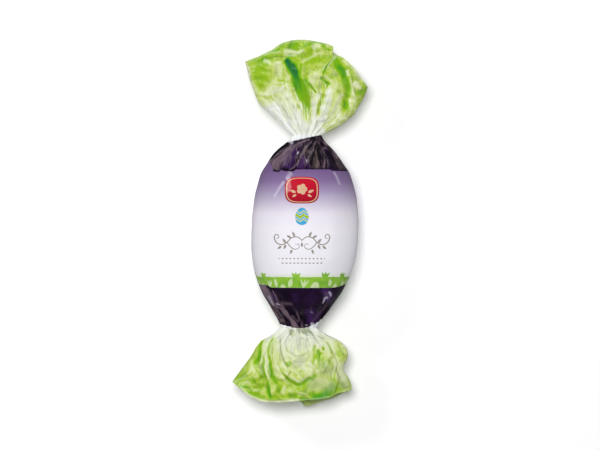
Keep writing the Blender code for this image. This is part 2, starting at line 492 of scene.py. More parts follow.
class ShaderTree:
    """A material's nodes."""

    def __init__(self, name: str) -> None:
        """Starts an empty material with its output node.

        Args:
            name: the material's name.
        """
        self.material = bpy.data.materials.new(name)
        self.material.use_nodes = True
        self.nodes = self.material.node_tree.nodes
        self.links = self.material.node_tree.links
        self.nodes.clear()
        self.output = self.nodes.new("ShaderNodeOutputMaterial")

    def add(
        self, kind: str, settings: Optional[dict] = None, sockets: Optional[dict] = None
    ) -> bpy.types.Node:
        """Adds a node; see new_node."""
        return new_node(self.material.node_tree, kind, settings or {}, sockets or {})

    def attribute(self, name: str) -> Signal:
        """A number stored on the mesh's points."""
        node = self.add("ShaderNodeAttribute", {"attribute_name": name})
        return Signal(self, node.outputs["Fac"])

    def place(self) -> Socket:
        """The object's own coordinates."""
        return self.add("ShaderNodeTexCoord").outputs["Object"]

    def noise(self, size: float, detail: float = 2.0, stretch: tuple = (1, 1, 1)) -> Signal:
        """Cloudy noise.

        Args:
            size: the width of a cloud, in metres.
            detail: how many finer layers it has.
            stretch: factors on the coordinates.

        Returns:
            The noise, about 0 to 1.
        """
        mapping = self.add("ShaderNodeMapping", {}, {"Vector": self.place(), "Scale": stretch})
        sockets = {"Vector": mapping.outputs[0], "Scale": 1 / size, "Detail": detail}
        return Signal(self, self.add("ShaderNodeTexNoise", {}, sockets).outputs[0])

    def crinkles(self, size: float, thin: float) -> Signal:
        """Thin, broken creases between the facets of crumpled film.

        Args:
            size: the width of a facet, in metres.
            thin: how wide the creases are, as a share of a facet.

        Returns:
            1 on the creases and 0 off them.
        """
        sway = self.add("ShaderNodeTexNoise", {}, {"Vector": self.place(), "Scale": 0.9 / size})
        sockets = {0: sway.outputs["Color"], 1: (size * 0.9,) * 3, 2: self.place()}
        bent = self.add("ShaderNodeVectorMath", {"operation": "MULTIPLY_ADD"}, sockets).outputs[0]
        sockets = {"Vector": bent, "Scale": 1 / size}
        cells = self.add("ShaderNodeTexVoronoi", {"feature": "DISTANCE_TO_EDGE"}, sockets)
        line = 1 - Signal(self, cells.outputs["Distance"]).step(0.0, thin)
        return line * self.noise(size * 1.7, 1.0).step(0.46, 0.62)

    def pleat_lines(self, size: float, level: float, thin: float) -> Signal:
        """1 on thin lines that run along the pleats into the neck, and 0 off them.

        Args:
            size: how many lines there are, about, in a unit of the spoke attribute.
            level: picks the lines; lines of near levels run side by side.
            thin: how wide they are.

        Returns:
            The lines.
        """
        spoke = self.add("ShaderNodeAttribute", {"attribute_name": "spoke"}).outputs["Vector"]
        sockets = {"Vector": spoke, "Scale": size, "Detail": 2.0}
        off = Signal(self, self.add("ShaderNodeTexNoise", {}, sockets).outputs[0]) - level
        return (1 - off.maths("ABSOLUTE", off).step(0.0, thin)) * self.attribute("creased")

    def ramp(self, value: Signal, stops: Iterable[tuple[float, tuple]]) -> Socket:
        """The colour of a value on a ramp."""
        return self.add("ShaderNodeValToRGB", {"stops": stops}, {0: value}).outputs[0]

    def mix(self, share: Term, low: Any, high: Any) -> Socket:
        """The colour that is a share of the way from low to high."""
        sockets = {0: share, 6: low, 7: high}
        return self.add("ShaderNodeMix", {"data_type": "RGBA"}, sockets).outputs[2]

    def layered(self, colour: Any, *layers: tuple[Any, Any]) -> Any:
        """Lays colours over one another.

        Args:
            colour: the lowest.
            layers: from the bottom up, each how far it covers what is below it, and its colour.

        Returns:
            The colour that shows.
        """
        for share, over in layers:
            colour = self.mix(share, colour, over)
        return colour

    def bump(self, height: Signal, distance: float) -> Socket:
        """The normal of a surface with fine relief."""
        sockets = {"Height": height, "Distance": distance, "Strength": 1.0}
        return self.add("ShaderNodeBump", {}, sockets).outputs[0]

    def film(self, colour: Any, roughness: Any, normal: Any, **constants: float) -> Any:
        """The shader of glossy film.

        Args:
            colour: the base colour.
            roughness: the roughness.
            normal: the normal.
            constants: values of other sockets of the Principled BSDF, with _ for a space.

        Returns:
            The shader's output socket.
        """
        sockets = {"Base Color": colour, "Roughness": roughness, "Normal": normal}
        sockets |= {name.replace("_", " "): value for name, value in constants.items()}
        return self.add("ShaderNodeBsdfPrincipled", {}, sockets).outputs[0]

    def finish(self, shader: Socket) -> bpy.types.Material:
        """Links the shader to the output and hands over the material."""
        self.links.new(shader, self.output.inputs["Surface"])
        return self.material


# ----- Finishes -----


@dataclass(frozen=True)
class LeafInkFinish:
    """Clear white film with a brushed leaf-green print, on the tails."""

    stops: tuple = (
        (0.00, srgb(246, 246, 248)),
        (0.12, srgb(236, 241, 224)),
        (0.25, srgb(223, 234, 178)),
        (0.38, srgb(205, 221, 128)),
        (0.50, srgb(184, 210, 84)),
        (0.62, srgb(161, 199, 42)),
        (0.74, srgb(139, 189, 16)),
        (0.83, srgb(108, 176, 12)),
        (0.91, srgb(58, 147, 36)),
        (1.00, srgb(18, 108, 62)),
    )
    # Colours laid over the print: painted light, grey film with painted shade round the necks,
    # painted shade, and painted highlight and shade along crinkles and pleats.
    pale: tuple = srgb(232, 240, 192)
    dull: tuple = srgb(184, 192, 160)
    shade: tuple = srgb(84, 112, 60)
    lit_crease: tuple = srgb(220, 238, 148)
    lit_pleat: tuple = srgb(246, 250, 234)
    shaded_crease: tuple = srgb(104, 150, 34)
    pleat_size: float = 7.0
    roughness: float = 0.24
    ripple: float = 0.00006

    def material(self) -> bpy.types.Material:
        """Builds the finish.

        Returns:
            The material, which reads the tails' print, creases and painted light and shade.
        """
        tree = ShaderTree("leaf_printed_film")
        clouds = tree.noise(0.0035, 3.0) - 0.5
        fine = tree.noise(0.0009, 2.0, (1, 0.45, 1)) - 0.5
        ink = tree.attribute("ink") + clouds * 0.05 + fine * 0.03
        clear = 1 - ink.step(0.60, 0.76)
        inked = ink.step(0.20, 0.45) * clear
        colour = tree.layered(
            tree.ramp(ink, self.stops),
            # Painted highlight and painted shade along the crinkles between the facets.
            (tree.crinkles(0.0046, 0.10) * inked * 0.55, self.lit_crease),
            (tree.crinkles(0.0037, 0.09) * inked * 0.45, self.shaded_crease),
            # Grey film, with painted shade under the gathers round the necks.
            (tree.attribute("dull"), self.dull),
            # Painted shade: dark strokes, hollows, valleys and facets turned from the light.
            (tree.attribute("shade"), self.shade),
            # Painted light: glare, highlights on crests and facets, the cut edge's light line, and
            # light through the film.
            (tree.attribute("pale"), self.pale),
            # Painted highlight and painted shade along the pleats that run into the neck.
            (tree.pleat_lines(self.pleat_size, 0.50, 0.040) * clear * 0.50, self.lit_pleat),
            (tree.pleat_lines(self.pleat_size, 0.44, 0.035) * clear * 0.28, self.shade),
        )
        roughness = self.roughness + tree.noise(0.002, 2.0) * 0.10
        normal = tree.bump(tree.noise(0.0016, 3.0, (1, 0.5, 1)), self.ripple)
        shader = tree.film(
            colour, roughness, normal, IOR=1.42, Coat_Weight=0.18, Coat_Roughness=0.08
        )
        return tree.finish(shader)


@dataclass(frozen=True)
class LabelPrintFinish:
    """Film printed dark violet at the egg's ends, with a whitish label and a leaf strip between."""

    dark: tuple = srgb(30, 14, 38)
    # Painted shade in the creases.
    deep: tuple = srgb(13, 7, 16)
    violet: tuple = srgb(66, 36, 92)
    olive: tuple = srgb(92, 80, 68)
    # Painted sheen, and painted glints, on the creased film.
    haze: tuple = srgb(137, 115, 128)
    glint: tuple = srgb(232, 226, 242)
    bare: tuple = srgb(243, 244, 245)
    label_stops: tuple = (
        (0.00, srgb(244, 242, 248)),
        (0.30, srgb(244, 241, 248)),
        (0.42, srgb(240, 235, 244)),
        (0.49, srgb(233, 228, 238)),
        (0.56, srgb(216, 208, 225)),
        (0.62, srgb(201, 191, 213)),
        (0.74, srgb(168, 152, 186)),
        (0.86, srgb(136, 114, 157)),
        (1.00, srgb(120, 92, 142)),
    )
    strip: tuple = srgb(146, 198, 62)
    strip_deep: tuple = srgb(118, 176, 58)
    leaf: tuple = srgb(214, 232, 176)
    red: tuple = srgb(200, 22, 48)
    deep_red: tuple = srgb(142, 10, 30)
    gilt: tuple = srgb(226, 200, 160)
    scroll: tuple = srgb(138, 130, 116)
    sky: tuple = srgb(70, 168, 214)
    lime: tuple = srgb(158, 190, 48)
    pleat_size: float = 9.0
    fade_foot: float = -0.0105  # where the label's ramp starts along Y, in metres
    fade_length: float = 0.036
    paper_blur: float = 0.12

    def material(self) -> bpy.types.Material:
        """Builds the finish.

        Returns:
            The material, which reads distances to the print's edges, and painted sheen, glints and
            shade.
        """
        tree = ShaderTree("label_printed_film")
        split = tree.add("ShaderNodeSeparateXYZ", {}, {0: tree.place()})
        along = Signal(tree, split.outputs[1])
        clouds = tree.noise(0.0030, 3.0)
        streaks = tree.noise(0.0011, 3.0, (1, 0.16, 1))

        def cover(name: str, blur: float = 0.06) -> Signal:
            """1 inside a printed shape, from its distance attribute."""
            return tree.attribute(name).step(-blur, blur)

        rise = (along - self.fade_foot) / self.fade_length
        label = tree.ramp(rise + (clouds - 0.5) * 0.03, self.label_stops)
        strip = tree.mix(tree.noise(0.004).step(0.4, 0.7), self.strip, self.strip_deep)
        # The plaque's painted shade, from red to a darker red.
        red = tree.mix(tree.attribute("plaque_shade"), self.red, self.deep_red)
        paper = cover("label", self.paper_blur)
        colour = tree.layered(
            self.dark,
            (streaks.step(0.50, 0.80) * 0.25, self.violet),
            (tree.attribute("violet") * 0.9, self.violet),
            (tree.attribute("olive"), self.olive),
            # Painted sheen: strokes, highlights along crests and light pleat lines.
            (tree.attribute("haze") * blend(0.7, 0.95, clouds), self.haze),
            (tree.attribute("crest") * 0.18, self.haze),
            (tree.pleat_lines(self.pleat_size, 0.50, 0.040) * 0.60, self.haze),
            # Painted shade: dark strokes, valleys and dark pleat lines.
            (tree.attribute("deep"), self.deep),
            (tree.attribute("valley") * 0.35, self.deep),
            (tree.pleat_lines(self.pleat_size, 0.43, 0.036) * 0.80, self.deep),
            (paper, label),
            (tree.attribute("mist"), self.leaf),
            (cover("strip"), strip),
            (cover("leaves") * 0.85, self.leaf),
            (cover("plaque"), red),
            (cover("gilt") * 0.8, self.gilt),
            (cover("scroll") * 0.9, self.scroll),
            (cover("sky"), self.sky),
            (cover("lime"), self.lime),
            (cover("bare", 0.15), self.bare),
            # Painted glints.
            (tree.attribute("glint"), self.glint),
        )
        roughness = blend(0.16 + clouds * 0.12, 0.42, paper)
        ripple = tree.noise(0.0020, 3.0, (1, 0.35, 1)) * (1.15 - paper)
        normal = tree.bump(ripple, 0.00008)
        coat = blend(0.10, 0.35, paper)
        shader = tree.film(
            colour, roughness, normal,
            Coat_Weight=coat, Coat_Roughness=0.07, Specular_IOR_Level=0.12,
        )
        return tree.finish(shader)


@dataclass(frozen=True)
class TableFinish:
    """A plain white light table with a faint mottle: it glows a little through its top."""

    white: tuple = (0.93, 0.93, 0.93, 1.0)
    mottled: tuple = (0.915, 0.915, 0.92, 1.0)
    glow: float = 0.17

    def material(self) -> bpy.types.Material:
        """Builds the finish.

        Returns:
            The material.
        """
        tree = ShaderTree("white_table")
        colour = tree.mix(tree.noise(0.05).step(0.3, 0.7), self.white, self.mottled)
        fine = tree.noise(0.0015)
        normal = tree.bump(fine, 0.00002)
        glow = {"Emission_Color": self.white, "Emission_Strength": self.glow}
        shader = tree.film(colour, 0.75 + fine * 0.1, normal, Specular_IOR_Level=0.1, **glow)
        return tree.finish(shader)


# ----- Gathered film: geometry nodes and grids -----


@dataclass(frozen=True)
class Gathers:
    """The pleats that the twist gathers round a neck, pressed into film by geometry nodes."""

    pleats: int = 19
    depth: float = 0.10  # of the film's radius
    wander: float = 2.6  # how unevenly the pleats are spaced
    seed: float = 4.0

    def tree(self) -> bpy.types.NodeTree:
        """Builds the node group that moves each point of the film in or out.

        Returns:
            The group. It reads the points' turn round the neck, how tightly they are gathered
            and the vector from the film's middle line to them.
        """
        group = bpy.data.node_groups.new("gathered_film", "GeometryNodeTree")
        group.interface.new_socket("Geometry", in_out="OUTPUT", socket_type="NodeSocketGeometry")
        for name, kind in (
            ("Geometry", "NodeSocketGeometry"),
            ("Pleats", "NodeSocketInt"),
            ("Depth", "NodeSocketFloat"),
            ("Wander", "NodeSocketFloat"),
            ("Seed", "NodeSocketFloat"),
            ("Film", "NodeSocketMaterial"),
        ):
            group.interface.new_socket(name, in_out="INPUT", socket_type=kind)

        def add(kind: str, settings: dict, sockets: dict) -> Any:
            """Adds a node, and returns its outputs."""
            return new_node(group, kind, settings, sockets).outputs

        def maths(operation: str, *terms: Any) -> Socket:
            """The result of a Math node on the terms."""
            return add("ShaderNodeMath", {"operation": operation}, dict(enumerate(terms)))[0]

        def stored(name: str, kind: str) -> Socket:
            """A value stored on the points."""
            return add("GeometryNodeInputNamedAttribute", {"data_type": kind}, {"Name": name})[0]

        given = group.nodes.new("NodeGroupInput").outputs
        turn = stored("turn", "FLOAT")
        spoke = {0: maths("COSINE", turn), 1: maths("SINE", turn), 2: given["Seed"]}
        around = add("ShaderNodeCombineXYZ", {}, spoke)[0]
        unevenness = {"Vector": around, "Scale": 1.3, "Detail": 1.0}
        noise = add("ShaderNodeTexNoise", {}, unevenness)["Fac"]
        drift = maths("MULTIPLY", maths("SUBTRACT", noise, 0.5), given["Wander"])
        phase = maths("MULTIPLY", turn, maths("MULTIPLY", given["Pleats"], 0.5))
        wave = maths("ABSOLUTE", maths("SINE", maths("ADD", phase, drift)))
        crest = maths("SUBTRACT", 1.0, maths("MULTIPLY", wave, 2.0))
        height = maths("MULTIPLY", crest, given["Depth"])
        size = maths("MULTIPLY", height, stored("gather", "FLOAT"))
        outward = stored("outward", "FLOAT_VECTOR")
        offset = add("ShaderNodeVectorMath", {"operation": "SCALE"}, {0: outward, "Scale": size})[0]
        moved = add("GeometryNodeSetPosition", {}, {0: given["Geometry"], "Offset": offset})[0]
        real = add("GeometryNodeRealizeInstances", {}, {0: moved})[0]
        dressed = add("GeometryNodeSetMaterial", {}, {0: real, "Material": given["Film"]})[0]
        group.links.new(dressed, group.nodes.new("NodeGroupOutput").inputs[0])
        return group

    def press(self, shape: bpy.types.Object, film: bpy.types.Material) -> None:
        """Presses the pleats into a piece, and leaves it a plain mesh.

        Args:
            shape: the piece, with its turn, gather and outward attributes.
            film: the material of its film.
        """
        modifier = shape.modifiers.new("gathers", "NODES")
        modifier.node_group = group = self.tree()
        values = {
            "Pleats": self.pleats,
            "Depth": self.depth,
            "Wander": self.wander,
            "Seed": self.seed,
            "Film": film,
        }
        for item in group.interface.items_tree:
            if item.name in values:
                modifier[item.identifier] = values[item.name]
        flat = shape.data
        evaluated = shape.evaluated_get(bpy.context.evaluated_depsgraph_get())
        shape.data = bpy.data.meshes.new_from_object(evaluated)
        shape.modifiers.remove(modifier)
        shape.data.name = shape.name
        bpy.data.meshes.remove(flat)
        bpy.data.node_groups.remove(group)


def grid_quads(rows: int, columns: int) -> Array:
    """Joins the rows of a grid whose columns close on themselves.

    Args:
        rows: how many rows it has.
        columns: how many points are in a row.

    Returns:
        The quads, each as the numbers of its four points.
    """
    row, column = np.meshgrid(np.arange(rows - 1), np.arange(columns), indexing="ij")
    after = (column + 1) % columns
    a, b = row * columns + column, row * columns + after
    return np.stack([a, a + columns, b + columns, b], axis=-1).reshape(-1, 4)


def closed_sheet(
    name: str, points: Array, inward: bool, fields: dict[str, Array]
) -> bpy.types.Object:
    """Makes an object of rings of points, closed at both ends.

    Args:
        name: the piece's name.
        points: the rings, as an array of rings, points and coordinates, in millimetres.
        inward: whether the faces have to be turned round to point outwards.
        fields: values at the points, by the name of the attribute that holds them.

    Returns:
        The smooth-shaded object.
    """
    rings, columns, _ = points.shape
    ends = [points[0].mean(axis=0), points[-1].mean(axis=0)]
    every = np.concatenate([points.reshape(-1, 3), ends]) * MM
    faces = grid_quads(rings, columns).tolist()
    first, last = rings * columns, rings * columns + 1
    start = (rings - 1) * columns
    for column in range(columns):
        after = (column + 1) % columns
        faces.append((first, column, after))
        faces.append((last, start + after, start + column))
    if inward:
        faces = [face[::-1] for face in faces]
    mesh = bpy.data.meshes.new(name)
    mesh.from_pydata(every.tolist(), [], faces)
    mesh.shade_smooth()
    for field, values in fields.items():
        flat = values.reshape(rings * columns, -1)
        flat = np.concatenate([flat, flat[:1], flat[-1:]]).astype(np.float32)
        kind, slot = ("FLOAT", "value") if flat.shape[1] == 1 else ("FLOAT_VECTOR", "vector")
        mesh.attributes.new(field, kind, "POINT").data.foreach_set(slot, flat.ravel())
    shape = bpy.data.objects.new(name, mesh)
    bpy.context.scene.collection.objects.link(shape)
    return shape


def hand_over(shape: bpy.types.Object, node: str) -> None:
    """Rides a finished piece on the body, in place of its solid.

    Args:
        shape: the piece.
        node: the solid's name.
    """
    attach(shape, "root")
    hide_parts(node)
    LOG.info("%s: %d points, in place of %s", shape.name, len(shape.data.vertices), node)


# ----- The egg in its film -----

EGG_RADIUS_AT = curve_through((
    (LOWER_NECK_Y, 7.2), (-39.5, 8.7), (-35.0, 12.0), (-28.1, 16.8), (-19.9, 20.4), (-11.2, 22.5),
    (0.0, 23.0), (10.4, 22.4), (20.3, 20.4), (24.0, 19.1), (27.2, 17.2), (34.1, 11.6), (38.0, 7.4),
    (UPPER_NECK_Y, 5.6),
))
EGG_LEAN_AT = curve_through((
    (LOWER_NECK_Y, -2.2), (-35.0, -1.5), (-20.0, -0.5), (0.0, 0.4), (24.0, 0.6), (32.0, 0.4),
    (UPPER_NECK_Y, 1.3),
))


def leaf(x: Array, y: Array, place: Point, turn: float, length: float, width: float) -> Array:
    """How far inside a leaf shape points lie.

    Args:
        x, y: the places, in millimetres.
        place: the leaf's middle.
        turn: the direction of its tip, in degrees.
        length: its length.
        width: its width.

    Returns:
        The distance to its edge, above 0 inside it, in millimetres.
    """
    c, s = math.cos(math.radians(turn)), math.sin(math.radians(turn))
    u = ((x - place[0]) * c + (y - place[1]) * s) / (length / 2)
    v = (y - place[1]) * c - (x - place[0]) * s
    lean = np.clip(u, -1, 1)
    edge = width / 2 * (1 - lean**2) * (1 - 0.35 * lean)
    return edge - np.abs(v) - np.maximum(np.abs(u) - 1, 0) * length / 2


def line_of(x: Array, y: Array, path: Path, start: float, end: float) -> Array:
    """How far inside a drawn line points lie.

    Args:
        x, y: the places, in millimetres.
        path: the line's points.
        start: its half width at its first point.
        end: its half width at its last point.

    Returns:
        The distance to its edge, above 0 inside it, in millimetres.
    """
    trace = Trace.of(path, x, y)
    return blend(start, end, trace.share) - trace.distance


class Growth(Enum):
    """The plants printed on the leaf strip."""

    LEAF = auto()
    BUD = auto()
    TUFT = auto()
    GRASS = auto()


@dataclass(frozen=True)
class LabelArt:
    """The label's ornament: a red plaque with a blossom, a small egg, a scroll and a leaf strip."""

    plaque_at: Point = (-0.9, 16.6)
    plaque_size: Point = (7.3, 5.7)  # half its width and height
    egg_at: Point = (-0.9, 5.4)
    egg_size: Point = (2.9, 3.7)
    scroll_at: Point = (-0.9, -8.0)
    bead_pitch: float = 1.65
    # The leaf strip's plants: place along the strip, kind, lean in degrees, size.
    strip_shapes: tuple[tuple[float, Growth, float, float], ...] = (
        (-19.5, Growth.BUD, 0, 1.9), (-15.0, Growth.LEAF, 62, 4.0), (-11.2, Growth.GRASS, 0, 3.8),
        (-6.8, Growth.BUD, 0, 2.5), (-0.6, Growth.TUFT, 0, 4.4), (3.4, Growth.GRASS, 0, 3.2),
        (6.2, Growth.LEAF, 118, 4.6), (10.6, Growth.BUD, 0, 1.7), (14.6, Growth.LEAF, 84, 4.2),
        (19.2, Growth.TUFT, 0, 3.8), (22.6, Growth.GRASS, 0, 3.0),
    )
    strip_period: float = 45.0
    strip_top: float = -20.5  # along Y, like the heights of the plants
    bud_height: float = -25.7
    leaf_height: float = -22.9
    tuft_height: float = -23.2
    grass_height: float = -19.8

    def plaque(self, x: Array, y: Array) -> dict[str, Array]:
        """Draws the red plaque with its gilt rim and blossom.

        Args:
            x, y: the places, in millimetres.

        Returns:
            The distances to the edges, above 0 inside, and the plaque's shade.
        """
        u, v = x - self.plaque_at[0], y - self.plaque_at[1]
        half_width, half_height = self.plaque_size
        size = ((np.abs(u) / half_width) ** 3.4 + (np.abs(v) / half_height) ** 3.4) ** (1 / 3.4)
        inside = (1 - size) * half_height
        rim = 0.16 - np.abs(inside - 0.62)
        turn = np.arctan2(v - 0.4, u)
        off = np.hypot(u, v - 0.4)
        petals = 1.75 + 0.62 * np.abs(np.cos(2.5 * turn)) - off
        heart = 0.42 - off
        vein = off * np.abs(np.sin(2.5 * turn)) - 0.10
        blossom = np.minimum(petals, np.maximum(-heart - 0.12, heart))
        blossom = np.minimum(blossom, np.where(off > 0.6, vein, 1.0))
        gilt = np.maximum(rim, blossom)
        for side in (-1, 1):
            gilt = np.maximum(gilt, leaf(u, v, (side * 3.9, -0.5), 90 - side * 68, 2.9, 1.15))
            gilt = np.maximum(gilt, leaf(u, v, (side * 3.3, -2.4), 90 - side * 118, 2.2, 0.9))
        # Painted shade: the plaque darkens towards its rim and its foot.
        shade = np.clip(0.15 + 0.35 * size**2 - 0.07 * v, 0, 1)
        return {"plaque": inside, "gilt": gilt, "plaque_shade": shade}

    def small_egg(self, x: Array, y: Array) -> dict[str, Array]:
        """Draws a small banded egg in sky blue and lime.

        Args:
            x, y: the places, in millimetres.

        Returns:
            The distances to the edges.
        """
        u, v = x - self.egg_at[0], y - self.egg_at[1]
        width = self.egg_size[0] * (1 - 0.13 * v / self.egg_size[1])
        inside = (1 - np.hypot(u / width, v / self.egg_size[1])) * self.egg_size[0]
        wave = 0.45 * np.sin(u * 2.1)
        band = 0.62 - np.abs(v - 0.1 - wave)
        stripe = 0.22 - np.abs(np.abs(v - 0.1 - wave) - 1.75)
        lime = np.minimum(inside, np.maximum(band, stripe))
        sky = np.minimum(inside, -np.maximum(band, stripe) - 0.16)
        return {"sky": sky, "lime": lime}

    def scroll(self, x: Array, y: Array) -> dict[str, Array]:
        """Draws a leafy scroll over two rows of beads.

        Args:
            x, y: the places, in millimetres.

        Returns:
            The distance to its edge.
        """
        u, v = np.abs(x - self.scroll_at[0]), y - self.scroll_at[1]
        stem = (
            (0.0, 3.2), (1.8, 4.6), (4.2, 4.4), (6.4, 2.4), (8.8, 1.3), (11.0, 2.4), (11.9, 4.4),
        )
        curl = ((11.9, 4.4), (11.3, 5.6), (10.1, 5.4), (10.0, 4.3), (10.8, 4.0))
        tendril = ((6.4, 2.4), (5.0, 0.6), (3.0, -0.6), (1.2, 0.2), (1.5, 1.6), (2.8, 1.5))
        shape = line_of(u, v, stem, 0.20, 0.26)
        shape = np.maximum(shape, line_of(u, v, curl, 0.24, 0.16))
        shape = np.maximum(shape, line_of(u, v, tendril, 0.22, 0.14))
        for place, turn, length in (
            ((3.6, 5.9), 62, 2.5),
            ((5.6, 4.8), 28, 2.3),
            ((7.6, 3.1), 50, 2.4),
            ((7.3, 0.4), -62, 2.4),
            ((9.6, 0.1), -38, 2.2),
            ((4.6, -1.7), -70, 2.2),
            ((0.0, 1.4), 90, 2.2),
        ):
            shape = np.maximum(shape, leaf(u, v, place, turn, length, 0.95))
        off_bead = np.abs(np.mod(u + self.bead_pitch / 2, self.bead_pitch) - self.bead_pitch / 2)
        for row, spread in ((-4.6, 9.9), (-6.5, 8.8)):
            beads = 0.34 - off_bead * 0.55 - np.abs(v - row)
            shape = np.maximum(shape, np.where(u < spread, beads, -1.0))
        return {"scroll": shape}

    def strip(self, arc: Array, y: Array, turn: Array) -> dict[str, Array]:
        """The leaf strip round the label's foot, as distances to the edges.

        Args:
            arc: places round the egg from the middle of its front, in millimetres.
            y: places along Y, in millimetres.
            turn: how far round the egg each point is, from 0 in front to 1 underneath.

        Returns:
            The strip, the leaves on it, and the mist above it.
        """
        strip = self.strip_top + 0.06 * np.sin(arc * 0.7) - y
        leaves = np.full(arc.shape, -2.0)
        round_again = np.repeat(np.arange(-2, 3), len(self.strip_shapes)) * self.strip_period
        for shift, (place, kind, lean, tall) in zip(round_again, self.strip_shapes * 5):
            place += shift
            if kind is Growth.BUD:
                off = np.hypot(arc - place, (y - self.bud_height) * 0.8)
                leaves = np.maximum(leaves, tall - off)
            elif kind is Growth.TUFT:
                for turn_of in (-34, -8, 20):
                    foot = (place + turn_of * 0.04, self.tuft_height)
                    leaves = np.maximum(leaves, leaf(arc, y, foot, 90 - turn_of, tall, 0.9))
            elif kind is Growth.GRASS:
                for turn_of in (-40, 0, 36):
                    foot = (place + turn_of * 0.03, self.grass_height)
                    strip = np.maximum(strip, leaf(arc, y, foot, 90 - turn_of, tall, 1.3))
            else:
                middle = (place, self.leaf_height)
                leaves = np.maximum(leaves, leaf(arc, y, middle, lean, tall, tall * 0.5))
                across = (arc - place) * math.sin(math.radians(lean))
                across = across - (y - self.leaf_height) * math.cos(math.radians(lean))
                vein = np.abs(across) < 0.12
                leaves = np.where(vein, np.minimum(leaves, -0.02), leaves)
        mist = 0.55 * smooth_step(self.strip_top + 2.1, self.strip_top - 0.1, y)
        mist = mist * (y > self.strip_top - 1.5) * (1 - 0.3 * turn)
        return {"strip": strip, "leaves": leaves, "mist": mist}


